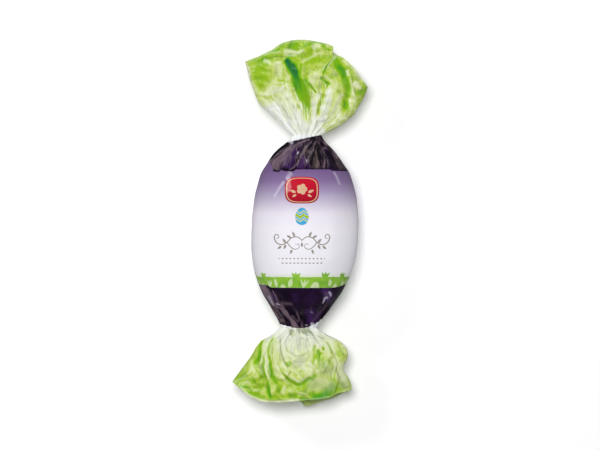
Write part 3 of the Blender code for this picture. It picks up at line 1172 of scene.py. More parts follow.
@dataclass
class WrappedEgg:
    """The egg's film from neck to neck, gathered at both ends, with its label."""

    film: bpy.types.Material
    gathers: Gathers = Gathers()
    art: LabelArt = LabelArt()
    columns: int = 300
    fine_row: float = 0.25
    coarse_row: float = 0.38
    fine_from: float = -26.5
    fine_to: float = 27.0
    upper_shoulder: float = 25.5
    lower_shoulder: float = -29.0
    arc_radius: float = 23.0
    label_ends: Point = (24.5, 27.5)  # along Y: the tight film's end, the creased film's start
    crumple: float = 0.10
    slack: float = 0.05
    mark_width: float = 0.34
    spoke_pace: float = 0.012  # how fast the pleat lines change along Y
    upper_lines: Point = (25.0, 29.0)  # along Y: none of the pleat lines, all of them
    lower_lines: Point = (-26.0, -31.0)
    lower_lines_left: Point = (-7.0, -12.0)  # along X: the same for the lower end
    lower_lines_share: float = 0.6
    # Creases of the gathered ends, from each neck towards the label.
    upper_creases: tuple[Crease, ...] = creases(
        ((5, 39.8, -0.5, 37.6, -7, 34.6, -12.6, 29), 0.75, 1.6, 2.2),
        ((5, 39.4, 1, 36.6, -4.6, 31.8, -8.4, 26.6), -0.7, 1.4, 1.8),
        ((5.1, 39.2, 2.2, 36, -1, 31.2, -3.4, 26), 0.8, 1.6, 1.5),
        ((5.2, 39, 3.2, 35.4, 1.4, 30.6, 0.4, 25.8), -0.6, 1.2, 1.2),
        ((5.3, 39, 4.2, 35.2, 3.4, 30.4, 3.2, 25.8), 0.65, 1.1, 1.1),
        ((5.4, 38.8, 5.2, 35, 5.4, 30.4, 5.8, 26), -0.55, 1, 1.2),
        ((5.6, 38.8, 6.4, 35, 8, 30.2, 9.2, 26.2), 0.75, 1.4, 1.6),
        ((5.8, 38.8, 8, 35, 11.2, 30.8, 13.4, 27.2), -0.65, 1.3, 1.5),
        ((6, 39, 9.4, 35.6, 13.2, 32, 16.4, 28.4), 0.6, 1.2, 1.5),
    )
    lower_creases: tuple[Crease, ...] = creases(
        ((-14, -26, -12.4, -31.4, -9.4, -37.4, -6, -41.6), 0.65, 1.6, 1.3),
        ((-12.8, -25.8, -9.2, -32.6, -6, -37.8, -3.6, -41.8), 0.75, 1.1, 1.5),
        ((-16.8, -27.4, -14.6, -32.2, -11.4, -37, -7.6, -41), -0.6, 1.2, 1.2),
        ((-6.6, -31, -4.4, -35.6, -2.4, -39.6, -1.2, -42), -0.5, 1.1, 1.3),
        ((-4, -33.6, -2.2, -37.2, -0.8, -40.2, -0.2, -42.2), 0.6, 1, 1.2),
        ((3, -33, 2.2, -36.4, 1.2, -39.6, 0.6, -42), -0.35, 1.4, 1.4),
        ((11.4, -28, 9, -32.8, 5.8, -37.2, 2.6, -41.4), 0.5, 1.8, 1.6),
        ((14, -28, 11.6, -33, 8.2, -37.4, 4.4, -41.2), -0.45, 1.4, 1.4),
    )
    violet: tuple[Stroke, ...] = strokes(
        (0.95, (1.7, 2.2), (-3, 35.4, -6, 30.7, -8.2, 25.5)),
        (0.9, (1.3, 1.6), (-0.2, 31.5, -1.7, 25.5), 0.6),
        (0.35, (0.69, 1), (9.1, 34.6, 10.4, 29.8, 11.7, 25.9)),
        (0.6, 0.52, (-1.1, 35.4, -2.2, 31.1)),
        (0.45, (0.6, 0.69), (2.2, 30.7, 1.7, 25.9)),
        (0.95, (1.8, 1.5), (7.8, -24.6, 10.4, -28.1, 9.1, -31.5)),
        (0.85, (1.9, 1.6), (2.2, -33.7, 3, -37.6, 3.5, -41)),
        (0.5, (1, 0.86), (6.5, -34.6, 4.8, -39.7)),
        (0.22, (2.6, 2.2), (0.9, -28.1, 4.8, -32)),
        (0.6, (1.5, 0.69), (-18.6, -24.2, -15.6, -29.4, -13, -33.3)),
        (0.55, (0.78, 0.6), (-13.8, -26.4, -11.9, -30.7, -9.5, -34.6)),
        (0.3, 1, (-4.3, -27.2, -3, -31.5)),
        soft=0.8, fade=0.15,
    )
    olive: tuple[Stroke, ...] = strokes(
        (0.8, (0.6, 1.1), (5.6, 34.1, 5.4, 25.5)),
        (0.5, 0.52, (4.3, 31.1, 3.5, 25.9)),
        (0.45, (1, 1.3), (13, 32, 16.8, 25.5)),
        (0.6, (1.1, 0.95), (0, 35, 2.2, 32)),
        (0.55, 0.86, (-12.5, -34.6, -10.4, -38, -8.2, -40.6)),
        (0.7, (0.6, 0.95), (-8.6, -34.6, -6.5, -37.8, -3.5, -42.3)),
        (0.4, (0.95, 1), (-12.5, 28.1, -12.1, 25.1)),
        soft=0.7, fade=0.12,
    )
    # Painted sheen: lighter mauve streaks for reflections on the creased ends.
    haze: tuple[Stroke, ...] = strokes(
        (0.74, (1.6, 2.2), (-4.3, 36.7, -9.5, 32, -12.5, 27.6, -13.4, 23.8), (0.7, 0.9), 0.12),
        (0.22, 1, (-0.9, 36.7, -4.3, 35.2), 0.8, 0.12),
        (0.5, 0.95, (-6.9, 33.3, -8.2, 29.8, -8.8, 26.8), 0.9, 0.15),
        (1, (0.26, 0.35), (3.9, 39.1, -0.4, 37.6, -4.3, 35.6, -8.2, 33, -11.7, 30.2, -14.3, 26.4)),
        (0.95, (0.3, 0.35), (-4.8, 36.7, -9.1, 33.9, -12.1, 31.5, -15.6, 28.1)),
        (0.6, (0.3, 0.26), (-0.4, 36.5, -4.8, 34.6, -7.3, 32, -9.1, 28.5)),
        (0.75, (0.26, 0.22), (-1.7, 29.8, -3.9, 26.8, -6.5, 25.1)),
        (0.9, (0.3, 0.26), (1.5, 36.3, -0.3, 33.7, -1.7, 30.7, -3.6, 26.8)),
        (0.8, (0.3, 0.26), (4.1, 38.7, 2.2, 36.5, 0.7, 34.1, -0.5, 32)),
        (0.6, (0.6, 0.69), (0.4, 34.6, 3.5, 32.4), 0.9, 0.12),
        (0.85, (0.26, 0.3), (5.2, 39.1, 4.6, 35.9, 3.2, 32.8, 1.6, 29.8, 0.9, 27.2)),
        (0.45, (0.22, 0.39), (5.6, 40.2, 5.4, 35, 5.4, 30.7, 5.6, 25.5)),
        (0.7, (0.26, 0.43), (6.3, 39.7, 7.3, 35.4, 9.1, 33.3, 8.6, 28.9, 8.6, 25.5)),
        (0.95, (0.26, 0.39), (6.2, 40.4, 7.8, 37.4, 10.4, 35.6, 11.9, 33.3, 13, 30.7)),
        (0.55, 0.22, (10.8, 35.4, 12.5, 32.8, 15.1, 29.4, 18.1, 25.5)),
        (0.4, 0.26, (10.2, 31.1, 10.2, 25.9)),
        (1, (2, 0.78), (-18.8, -23.3, -16, -28.1, -14.3, -31.1, -12.1, -34.6), 0.7),
        (0.76, (0.86, 0.95), (-13.1, -33.3, -11.2, -37, -8.6, -40.2), 0.7, 0.12),
        (0.6, (0.35, 0.3), (-16.8, -26.8, -14.3, -31.1, -11.7, -35.4)),
        (0.8, 0.19, (-13.6, -25.7, -12.1, -28.9, -10.6, -32)),
        (0.8, (0.39, 0.26), (-11.7, -32, -8.9, -33)),
        (0.42, (0.65, 0.43), (-9.9, -31.7, -4.8, -32.2), 0.9, 0.12),
        (0.25, (1.3, 1), (9.9, -26.4, 9.9, -30.2), 0.9, 0.2),
        (0.85, (0.6, 0.86), (-9.9, -33, -8.4, -35.4, -6.5, -38, -3.3, -42.6), 0.7),
        (1, (0.26, 0.22), (-12.3, -32.7, -9.8, -34.5)),
        (0.85, (0.22, 0.35), (-8, -34.6, -5.6, -38, -2.2, -42.8)),
        (0.85, (0.22, 0.26), (-3.5, -35.3, -2.2, -38.4, -0.4, -42.8)),
        (0.6, (0.39, 0.3), (-5.2, -37, -2.3, -40)),
        (0.5, (0.52, 0.43), (-10.4, -39.3, -7.3, -41.6)),
        soft=0.9, fade=0.08,
    )
    # Painted shade: dark lines in the creases and along the ends' edges.
    deep: tuple[Stroke, ...] = strokes(
        (0.95, (1.1, 0.43), (2.2, 39.1, 5.6, 39.5), 0.6),
        (0.9, (0.6, 0.35), (4.6, 38.4, 2.2, 35.4, 0.9, 33.4)),
        (0.92, (0.35, 0.82), (5.6, 38.9, 5.2, 35.9, 4.1, 32.4, 3.2, 29.4, 2.8, 26.4)),
        (0.95, 0.48, (6, 39.3, 6, 34.1, 6.7, 28.9)),
        (0.95, (0.39, 0.56), (6.9, 39.3, 8.2, 36.3, 10.6, 34.6, 12.1, 31.5, 13.8, 27.6)),
        (0.9, (0.3, 0.39), (-0.4, 35, -1.7, 32.4, -2.6, 29.4)),
        (0.7, 0.35, (6.9, 35, 7.5, 31.5, 7.8, 26.4)),
        (0.8, 0.35, (9.7, 32.8, 9.3, 28.9, 9.5, 25.5)),
        (0.75, (0.43, 0.95), (10.2, 34.6, 10.8, 31.1, 11.7, 27.6, 12.3, 25.5)),
        (0.9, (0.39, 0.35), (-8.8, 26.1, -6.5, 25.1, -3, 25.7)),
        (0.9, (0.52, 0.43), (-13.6, 25.5, -10.4, 24.4)),
        (1, (1, 0.65), (-5.6, 38.1, -8.2, 36, -11.1, 33.7, -14.1, 30.2), 0.4, 0.06),
        (0.75, (0.6, 0.78), (14.3, 31.1, 18.6, 25.5)),
        (0.75, 0.26, (-5.2, 36.1, -9.9, 32.8, -13, 29.8)),
        (1, (1.2, 0.95), (19, -22.5, 15.1, -28.9, 11.7, -33.7, 7.3, -39.3), 0.7, 0.06),
        (0.6, 2.2, (-10.4, -26.8, -6, -30.2), 0.8, 0.2),
        (0.9, (0.56, 0.48), (-8.2, -33.3, -5.4, -35.7, -2.8, -39.3)),
        (0.8, 0.43, (-1.7, -36.7, -1.4, -41.5)),
        (0.72, (0.43, 0.65), (-11.5, -33.7, -9.2, -37, -6.7, -40.3)),
        (0.8, 0.22, (-14, -32, -12.1, -35, -9.5, -38.9)),
        (0.85, 0.39, (-18.1, -28.9, -15.1, -33.3, -12.5, -38)),
        (0.8, (0.52, 0.6), (-9.9, -40.2, -5.6, -42.3)),
        (0.9, (0.43, 0.39), (-16.4, -24.5, -14.9, -25.2, -12.1, -26.4), 0.6),
        (0.5, 0.52, (-11.7, -26.4, -9.9, -30.7)),
        (0.6, (0.69, 0.86), (-0.4, -36.7, 0.9, -42.3)),
        soft=0.8, fade=0.1,
    )
    # Painted glints on the creased ends and on the label's shoulders.
    glint: tuple[Stroke, ...] = strokes(
        (0.75, (0.35, 0.26), (-2.7, 33.4, -3, 32)),
        (0.6, (0.26, 0.22), (1, 30, 1.2, 28.5)),
        (0.6, (0.56, 0.35), (-6.2, 37.4, -4.3, 36.9)),
        (0.62, (0.35, 0.26), (10.6, -26.8, 11.4, -28.3, 11.1, -29)),
        (0.5, (0.39, 0.26), (10.4, -29.2, 8.9, -29.9, 8.5, -30.9, 7.9, -32)),
        (0.62, (0.52, 0.39), (3.2, -40.3, 4.8, -42.2)),
        (0.2, (0.3, 0.26), (2.9, -35.4, 3.9, -36)),
        (0.32, (0.6, 0.52), (-15.6, -28.5, -13, -33.1)),
        (0.55, (0.26, 0.22), (-11.8, -32, -10.1, -32.6)),
        (0.4, (0.26, 0.22), (0.4, -41.1, 1.7, -41.6)),
        (0.42, (0.56, 0.39), (-8.2, 20.7, -10.4, 17.7, -13, 13.4)),
        (0.3, (1, 0.6), (-5.2, 24.2, -7.8, 21.2)),
        (0.34, (0.43, 0.35), (12.5, 24.8, 14.1, 22, 15.4, 18.6)),
        soft=0.9, fade=0.1,
    )

    # The label's edges: places along Y at places along X.
    label_top: Path = (
        (-20, 29.8), (-15.1, 29.3), (-13.6, 26.4), (-13.2, 24.5), (-10.6, 24.4), (-9.7, 25.2),
        (-8.4, 24.7), (-4.5, 24.6), (-3.5, 25.4), (10.8, 25.5), (12.5, 24.9), (19, 24.8),
    )
    label_top_behind: Path = ((-20, 29.8), (-12, 27.0), (0, 25.4), (20, 24.8))
    label_foot: Path = (
        (-22, -23.7), (-16, -23.9), (-15, -24.4), (-14.2, -25.0), (12, -25.1), (15, -24.7),
        (18.3, -23.5), (22, -23.3),
    )

    def turns(self) -> Array:
        """Spaces the points of a ring, closest together across the front.

        Returns:
            Their angles round the egg.
        """
        fine = np.linspace(0, math.tau, 7201)
        off_front = np.abs(np.degrees(fine) - 90)
        off_front = np.minimum(off_front, 360 - off_front)
        density = 1 / (0.62 + 1.5 * smooth_step(36, 78, off_front))
        reach = np.concatenate([[0], np.cumsum((density[1:] + density[:-1]) / 2)])
        wanted = np.arange(self.columns) / self.columns * reach[-1]
        return np.interp(wanted, reach, fine)

    def rows(self) -> Array:
        """Spaces the rings, closest together along the label.

        Returns:
            Their places along Y, in millimetres.
        """
        low = np.arange(LOWER_NECK_Y, self.fine_from, self.coarse_row)
        middle = np.arange(self.fine_from, self.fine_to, self.fine_row)
        high = np.linspace(self.fine_to, UPPER_NECK_Y, 37)
        return np.concatenate([low, middle, high])

    def zones(self, x: Array, y: Array, turn: Array, front: Array) -> dict[str, Array]:
        """Lays out the label, its strip and the bare film by the necks.

        Args:
            x, y: the places, in millimetres.
            turn: angles round the egg from the middle of its front.
            front: whether each place is on the front.

        Returns:
            The distances to the edges, above 0 inside.
        """
        arc = turn * self.arc_radius
        top = line_through(self.label_top)(x)
        top = np.where(front, top, line_through(self.label_top_behind)(x))
        foot = line_through(self.label_foot)(x)
        art = self.art.strip(arc, y, np.abs(turn) / math.pi)
        label = np.minimum(top - y, y - foot)
        art["strip"] = np.minimum(art["strip"], y - foot)
        art["leaves"] = np.minimum(art["leaves"], np.minimum(y - foot, art["strip"]))
        upper = y - line_through(((-10, 36.6), (-9.1, 37.0), (5.4, 40.2), (9.0, 41.0)))(x)
        lower = line_through(((-12, -40.4), (-8.6, -41.5), (-4.3, -42.5), (-1.3, -42.9),
                              (2.6, -42.1), (5.2, -40.6), (7.8, -38.5), (12, -34.0)))(x) - y
        return art | {"label": label, "bare": np.maximum(upper, lower)}

    def build(self) -> bpy.types.Object:
        """Makes the film round the egg.

        Returns:
            The piece, dressed and with its pleats pressed in.
        """
        turn, y = np.meshgrid(self.turns(), self.rows())
        radius, lean = EGG_RADIUS_AT(y), EGG_LEAN_AT(y)
        upper = smooth_step(self.upper_shoulder, UPPER_NECK_Y, y)
        gather = upper + smooth_step(self.lower_shoulder, LOWER_NECK_Y, y)
        flat = 1 - (1 - NECK_FLATNESS) * gather
        front = np.sin(turn) > 0
        x = lean + radius * np.cos(turn)
        seen = np.where(front, x, -x)
        every = self.upper_creases + self.lower_creases
        ends = smooth_step(*self.label_ends, np.abs(y))
        facing = smooth_step(0.0, 0.5, np.abs(np.sin(turn)))
        relief = sum(crease.relief(seen, y) for crease in every)
        relief = (relief + self.crumple * crumpled(seen, y, 5, 3.2)) * ends * facing
        relief += self.slack * wandering(seen, y, 8, 11.0) * (1 - ends)
        sheet = radius + relief
        x = lean + sheet * np.cos(turn)
        z = np.maximum(AXIS_HEIGHT + sheet * flat * np.sin(turn), 0.0)
        around = np.mod(turn - math.pi / 2 + math.pi, math.tau) - math.pi
        fields = self.zones(x, y, around, front)
        on_front = np.where(front, x, 99.0)  # so that the ornament isn't on the back
        for art in (self.art.plaque, self.art.small_egg, self.art.scroll):
            fields |= art(on_front, y)
        # The ends' print, with painted sheen, painted shade and painted glints.
        for name in ("violet", "olive", "haze", "deep", "glint"):
            fields[name] = painted(getattr(self, name), seen, y)
        marks = sum(crease.mark(seen, y, self.mark_width) for crease in every)
        left = smooth_step(*self.lower_lines_left, seen) * self.lower_lines_share
        outward = np.stack([sheet * np.cos(turn), 0 * y, sheet * flat * np.sin(turn)], axis=-1)
        fields |= {
            # Painted highlight along the crests and painted shade in the valleys.
            "crest": np.clip(marks, 0, 1) * facing,
            "valley": np.clip(-marks, 0, 1) * facing,
            "turn": turn,
            "spoke": np.stack([np.cos(turn), self.spoke_pace * y, np.sin(turn)], axis=-1),
            "creased": smooth_step(*self.upper_lines, y) + smooth_step(*self.lower_lines, y) * left,
            "gather": gather,
            "outward": outward * MM,
        }
        shape = closed_sheet("egg_wrap", np.stack([x, y, z], axis=-1), False, fields)
        self.gathers.press(shape, self.film)
        return shape


# ----- The tails -----


@dataclass(frozen=True)
class Relighting:
    """How the relief of crumpled film is painted into its print as light and shade, in densities.
    """

    # Painted shade and light in the ink: more of it in a hollow, less on a facet turned to the
    # light.
    hollow_shade_ink: float = 0.30  # for a hollow a millimetre deep
    facet_light_ink: float = 0.045  # for a facet that is turned away from the light
    hollow_shade: float = 0.45
    # Painted highlight along a crest and painted shade in a valley, and on facets by how they are
    # turned.
    mark: float = 0.12  # of the line along a crease
    facet: float = 0.16
    steep: Point = (0.9, 1.6)  # facets' turns: none of the tone, all of it
    solid_ink: Point = (0.66, 0.84)  # inks: all of the tones, none of them
    # The cut edge's light line: the film's clear border, partly painted highlight.
    cut_edge: Point = (0.962, 0.985)  # shares of a ray: none of the edge's pale line, all of it
    edge: float = 0.25
    most_shade: float = 0.6
    # Painted light on the inner side of the film, for light that comes through it.
    inner_ink: float = 0.85  # factors for the inner side of the film
    inner_shade: float = 0.2
    inner_painted_light: float = 0.15


@dataclass
class FilmTail:
    """One open end of the film: a flattened, creased bell that fans out from its neck."""

    name: str
    node: str
    film: bpy.types.Material
    neck_y: float
    way: int  # along Y: 1 up, -1 down
    left_edge: Path  # of (distance from the neck, angle from the tail's axis in degrees)
    right_edge: Path
    front_rim: Path  # of (place across from -1 to 1, length of the ray)
    back_rim: Path
    bell_height: Path  # of (share of a ray, height of the section)
    droop: float
    creases: tuple[Crease, ...]
    ground: Path  # of (share of a ray, ink)
    prints: tuple[Stroke, ...]
    # Painted highlights and painted shade, as strokes.
    glares: tuple[Stroke, ...]
    shades: tuple[Stroke, ...]
    # Strokes of grey film, which round the neck are painted shade under the gathers.
    greys_and_shades: tuple[Stroke, ...]
    seed: int
    lap_edge: Path = ()  # of (share of a ray, place across), where one layer lies over another
    lap_drop: float = 0.0
    lap_half: float = 0.012  # half the width of the step at a lap, across the fan
    # Pleats along the rays: their height, and then their form as uneven_pleats takes it.
    rays: tuple[tuple[float, ...], ...] = ((0.55, 7.3, 0.7, 5), (0.22, 17.0, 1.3, 9))
    crease_height: float = 0.75
    crumple: float = 0.30
    fine_crumple: float = 0.10
    facet: float = 4.6
    fine_facet: float = 1.9
    gathers: Gathers = Gathers()
    light: Relighting = Relighting()
    mark_width: float = 0.36
    opening: float = 0.16  # the share of a ray on which the bell opens
    gathered: float = 0.35  # the share of a ray on which the pleats die away
    front_columns: int = 290
    back_columns: int = 176
    rows: int = 110
    closed_rows: int = 14
    wall: float = 0.12
    even_spacing: float = 0.75
    sides_apart: float = 40.0  # so that the back isn't crumpled like the front
    pleats_fade: Point = (0.72, 0.30)  # shares of a ray: none, all of the pleats

    def ring(self) -> tuple[Array, Array]:
        """Spaces the points round a ring.

        Returns:
            Their places across the fan, and their sides: 1 on the front and -1 on the back.
        """
        front = np.linspace(0, math.pi, self.front_columns, endpoint=False)
        back = np.linspace(math.pi, math.tau, self.back_columns, endpoint=False)
        turn = np.concatenate([front, back])
        evenly = np.abs(2 * turn / math.pi - 2) - 1
        across = blend(np.cos(turn), evenly, self.even_spacing)
        return np.clip(across, -1, 1), np.where(turn < math.pi, 1.0, -1.0)

    def fan(self, across: Array, length: Array) -> tuple[Array, Array]:
        """Where the fan map puts points, seen from above.

        Args:
            across: places across the fan.
            length: distances from the neck, in millimetres.

        Returns:
            X and Y, in millimetres.
        """
        left = np.radians(curve_through(self.left_edge)(length))
        right = np.radians(curve_through(self.right_edge)(length))
        angle = -left + (left + right) * (across + 1) / 2
        neck = EGG_LEAN_AT(self.neck_y) + EGG_RADIUS_AT(self.neck_y) * across
        return neck + length * np.sin(angle), self.neck_y + self.way * length * np.cos(angle)

    def relief(self, x: Array, y: Array, across: Array, side: Array, share: Array) -> Array:
        """Creases and crumples the film.

        Args:
            x, y: the places on the smooth bell, in millimetres.
            across: places across the fan.
            side: 1 on the front and -1 on the back.
            share: shares of the rays.

        Returns:
            How far the film is lifted, in millimetres.
        """
        seen = np.where(side > 0, x, -x)
        creased = sum(crease.relief(seen, y) for crease in self.creases) * self.crease_height
        if self.lap_edge:
            lap = curve_through(self.lap_edge)(share)
            under = smooth_step(lap - self.lap_half, lap + self.lap_half, across) * (side > 0)
            creased = creased - self.lap_drop * under * share**1.2
        rays = sum(height * uneven_pleats(across, *form) for height, *form in self.rays)
        spread = smooth_step(0.02, 0.22, share) * smooth_step(0.95, 0.35, share)
        open_share = smooth_step(0.05, 0.6, share)
        size = 1.0 + 0.5 * open_share
        bent = self.bent(x, y, side)
        rough = self.crumple * open_share * crumpled(*bent, self.seed, self.facet)
        rough += self.fine_crumple * size * crumpled(*bent, self.seed + 1, self.fine_facet)
        return creased + spread * rays + rough

    def ink(self, x: Array, y: Array, side: Array, share: Array) -> Array:
        """Prints the film.

        Args:
            x, y: the places, in millimetres.
            side: 1 on the front and -1 on the back.
            share: shares of the rays.

        Returns:
            The print's density: 0 on bare film, 1 where it is darkest.
        """
        warp_x = x + 0.35 * wandering(x, y, self.seed + 5, 9.0)
        warp_y = y + 0.35 * wandering(x, y, self.seed + 6, 9.0)
        seen = np.where(side > 0, warp_x, -warp_x)
        ink = curve_through(self.ground)(share)
        uneven = wandering(seen, warp_y, self.seed + 7, 13.0)
        ink = ink + 0.05 * uneven * smooth_step(0.2, 0.6, share)
        for stroke in self.prints:
            ink = stroke.laid_over(ink, seen, warp_y)
        return np.clip(ink, 0.0, 1.0)

    def bent(self, x: Array, y: Array, side: Array) -> tuple[Array, Array]:
        """Places for the crumples, bent a little so that no crease is quite straight."""
        bent_x = side * (x + self.sides_apart) + 0.5 * wandering(x, y, self.seed + 2, 7.0)
        return bent_x, y + 0.5 * wandering(x, y, self.seed + 3, 7.0)

    def facets(self, x: Array, y: Array, side: Array, share: Array) -> Array:
        """Finds how the crumpled film's facets are turned.

        Args:
            x, y: the places, in millimetres.
            side: 1 on the front and -1 on the back.
            share: shares of the rays.

        Returns:
            How far they face the light, about -1 to 1.
        """
        bent = self.bent(x, y, side)
        coarse = facet_tones(*bent, self.seed, self.facet)
        fine = facet_tones(*bent, self.seed + 1, self.fine_facet)
        return (0.6 * coarse + 0.4 * fine) * smooth_step(0.12, 0.5, share)

    def colours(
        self, x: Array, y: Array, side: Array, share: Array, relief: Array
    ) -> dict[str, Array]:
        """The print with its painted light and shade.

        Args:
            x, y: the places, in millimetres.
            side: 1 on the front and -1 on the back.
            share: shares of the rays.
            relief: how far the film is lifted, in millimetres.

        Returns:
            The densities, by name.
        """
        light = self.light
        seen = np.where(side > 0, x, -x)
        hollow = np.clip(smoothed(relief, 8) - relief, -0.3, 0.3)
        marks = sum(crease.mark(seen, y, self.mark_width) for crease in self.creases)
        facets = self.facets(x, y, side, share)
        ink = self.ink(x, y, side, share)
        room = 1 - smooth_step(*light.solid_ink, ink)
        # Painted shade and light in the ink: darker in hollows, lighter on facets turned to the
        # light.
        ink = ink + (light.hollow_shade_ink * hollow - light.facet_light_ink * facets) * room
        edge = smooth_step(*light.cut_edge, share)
        # Painted shade: dark strokes, hollows, valleys and facets turned from the light; none on
        # the cut edge.
        shade = painted(self.shades, seen, y) * (1 - edge)
        shade += light.hollow_shade * np.clip(hollow, 0, 1) + light.mark * np.clip(-marks, 0, 1)
        shade += light.facet * smooth_step(*light.steep, -facets)
        # Painted light: glare strokes, crests, the cut edge's light line and facets turned to the
        # light.
        pale = painted(self.glares, seen, y)
        pale += light.mark * np.clip(marks, 0, 1) + light.edge * edge
        pale += light.facet * smooth_step(*light.steep, facets) * room
        return {
            "ink": np.clip(ink, 0, 1),
            "pale": np.clip(pale, 0, 1),
            "shade": np.clip(shade, 0, light.most_shade),
            "dull": painted(self.greys_and_shades, seen, y),
        }

    def build(self) -> bpy.types.Object:
        """Makes the tail's film as a thin shell, closed where it is gathered.

        Returns:
            The piece, dressed and with its pleats pressed in.
        """
        across_ring, side_ring = self.ring()
        share, across = np.meshgrid(np.linspace(0, 1, self.rows), across_ring, indexing="ij")
        side = np.broadcast_to(side_ring, share.shape)
        front, back = line_through(self.front_rim), line_through(self.back_rim)
        rim = np.where(side > 0, front(across), back(across))
        length = rim * share
        x, y = self.fan(across, length)
        roundness = np.sqrt(1 - across**2)
        opening = smooth_step(0.0, self.opening, share)
        relief = self.relief(x, y, across, side, share) * opening * roundness**0.6
        bell = curve_through(self.bell_height)(share) / 2
        z = AXIS_HEIGHT - self.droop * share**2 + side * (roundness * bell + relief)
        outer = np.stack([x, y, z], axis=-1)
        along = np.gradient(outer, axis=0)
        round_about = np.roll(outer, -1, axis=1) - np.roll(outer, 1, axis=1)
        normal = np.cross(along, round_about) * self.way
        normal /= np.maximum(np.linalg.norm(normal, axis=-1, keepdims=True), 1e-9)
        inner = (outer - normal * self.wall)[self.closed_rows :][::-1]
        radius = EGG_RADIUS_AT(self.neck_y)
        outward = np.stack([radius * across, 0 * y, side * roundness * bell], axis=-1)
        fields = self.colours(x, y, side, share, relief) | {
            "turn": np.arctan2(side * roundness, across),
            "spoke": np.stack([across, 0.3 * share, 2 * side], axis=-1),
            "creased": smooth_step(0.0, 0.10, share) * smooth_step(*self.pleats_fade, share),
            "gather": 1 - smooth_step(0.0, self.gathered, share),
            "outward": outward * MM,
        }
        within = {name: value[self.closed_rows :][::-1].copy() for name, value in fields.items()}
        # Painted light on the inner side: thinner ink, less painted shade and more painted light,
        # for light through the film.
        within["ink"] *= self.light.inner_ink
        within["shade"] *= self.light.inner_shade
        within["pale"] += self.light.inner_painted_light * (1 - within["pale"])
        doubled = {name: np.concatenate([fields[name], within[name]]) for name in fields}
        points = np.concatenate([outer, inner])
        shape = closed_sheet(self.name, points, self.way < 0, doubled)
        self.gathers.press(shape, self.film)
        return shape


UPPER_CREASES = creases(
    ((-8.6, 74.3, -5.6, 70, -3, 64.4, -0.9, 58.8, 1.3, 52.7, 2.2, 46.7), -1.7, 3, 3.2),
    ((-10.8, 73.9, -7.8, 67.8, -4.8, 60.9, -2.2, 54, -0.9, 45.4), 0.9, 2, 2.4),
    ((-1.3, 72.1, -0.4, 65.2, 2.2, 58.8, 4.3, 52.3, 3, 45.4), 1, 2.4, 3.4),
    ((-22.5, 71.3, -19.9, 63.5, -16.4, 56.6, -9.1, 48.8, -2.6, 42.8), -0.7, 3, 3),
    ((-13, 73, -13.4, 65.2, -11.2, 57.5, -6.9, 50.5, -1.7, 43.2), 0.9, 2.6, 2.2),
    ((-13, 57.9, -8.2, 51.4, -2.6, 43.2), 0.6, 1.4, 1.4),
    ((-7.3, 58.8, -4.8, 51.4, -1.7, 43.2), -0.5, 1.3, 1.3),
    ((-18.1, 54, -10.4, 48.4, -3, 42.3), 0.5, 1.4, 1.6),
    ((5.6, 60, 4.3, 54, 1.7, 48, 0.4, 43.2), 0.8, 1.4, 1.6),
    ((8.2, 59.2, 6.9, 52.7, 3.9, 46.7, 1.3, 42.8), -0.7, 1.4, 1.6),
    ((13, 61.8, 10.8, 54, 6.5, 46.7, 2.6, 42.3), 0.9, 1.8, 1.8),
    ((16, 56.6, 12.5, 50.1, 6.9, 44.5, 3.9, 41.9), -0.7, 1.6, 1.8),
    ((21.2, 54.4, 16, 48, 8.6, 43.2, 5.2, 41.5), 0.6, 1.6, 1.6),
    ((13, 74.3, 9.9, 71.7, 7.8, 68.3, 7.3, 65.2, 9.1, 61.8, 9.5, 56.6,
        7.8, 50.5), 0.9, 3.2, 0.8, CreaseKind.LAP),
    ((-23.3, 70.4, -18.1, 72.6, -12.5, 74.3, -6, 73.9, -1.7, 72.6), -1, 2.2, 2.6),
    ((-1.7, 72.6, 0.9, 74.7, 6.9, 74.7, 12.5, 74.3), -1, 2.2, 2.6),
    ((-9.1, 78.6, -6, 76.5, -1.7, 76.9, -0.4, 79.5), 0.9, 1.6, 2),
    ((1.7, 76.5, 4.3, 79.5, 7.8, 77.8, 11.7, 77.8), 0.9, 2, 1.8),
    ((13.8, 73, 16.8, 69.1, 18.6, 63.5, 19, 58.3, 17.7, 52.3, 15.6, 47.1), -1.1, 2.2, 2),
    ((19.4, 69.1, 20.7, 62.6, 21.6, 56.6, 20.3, 50.5), 0.9, 1.6, 2),
    ((20.7, 67.8, 22.5, 63.5, 24.6, 60.5, 27.2, 60.9), 0.8, 2.2, 2.2),
    ((20.7, 57.9, 24.2, 59.2, 26.8, 60), -0.6, 1.6, 1.6),
)
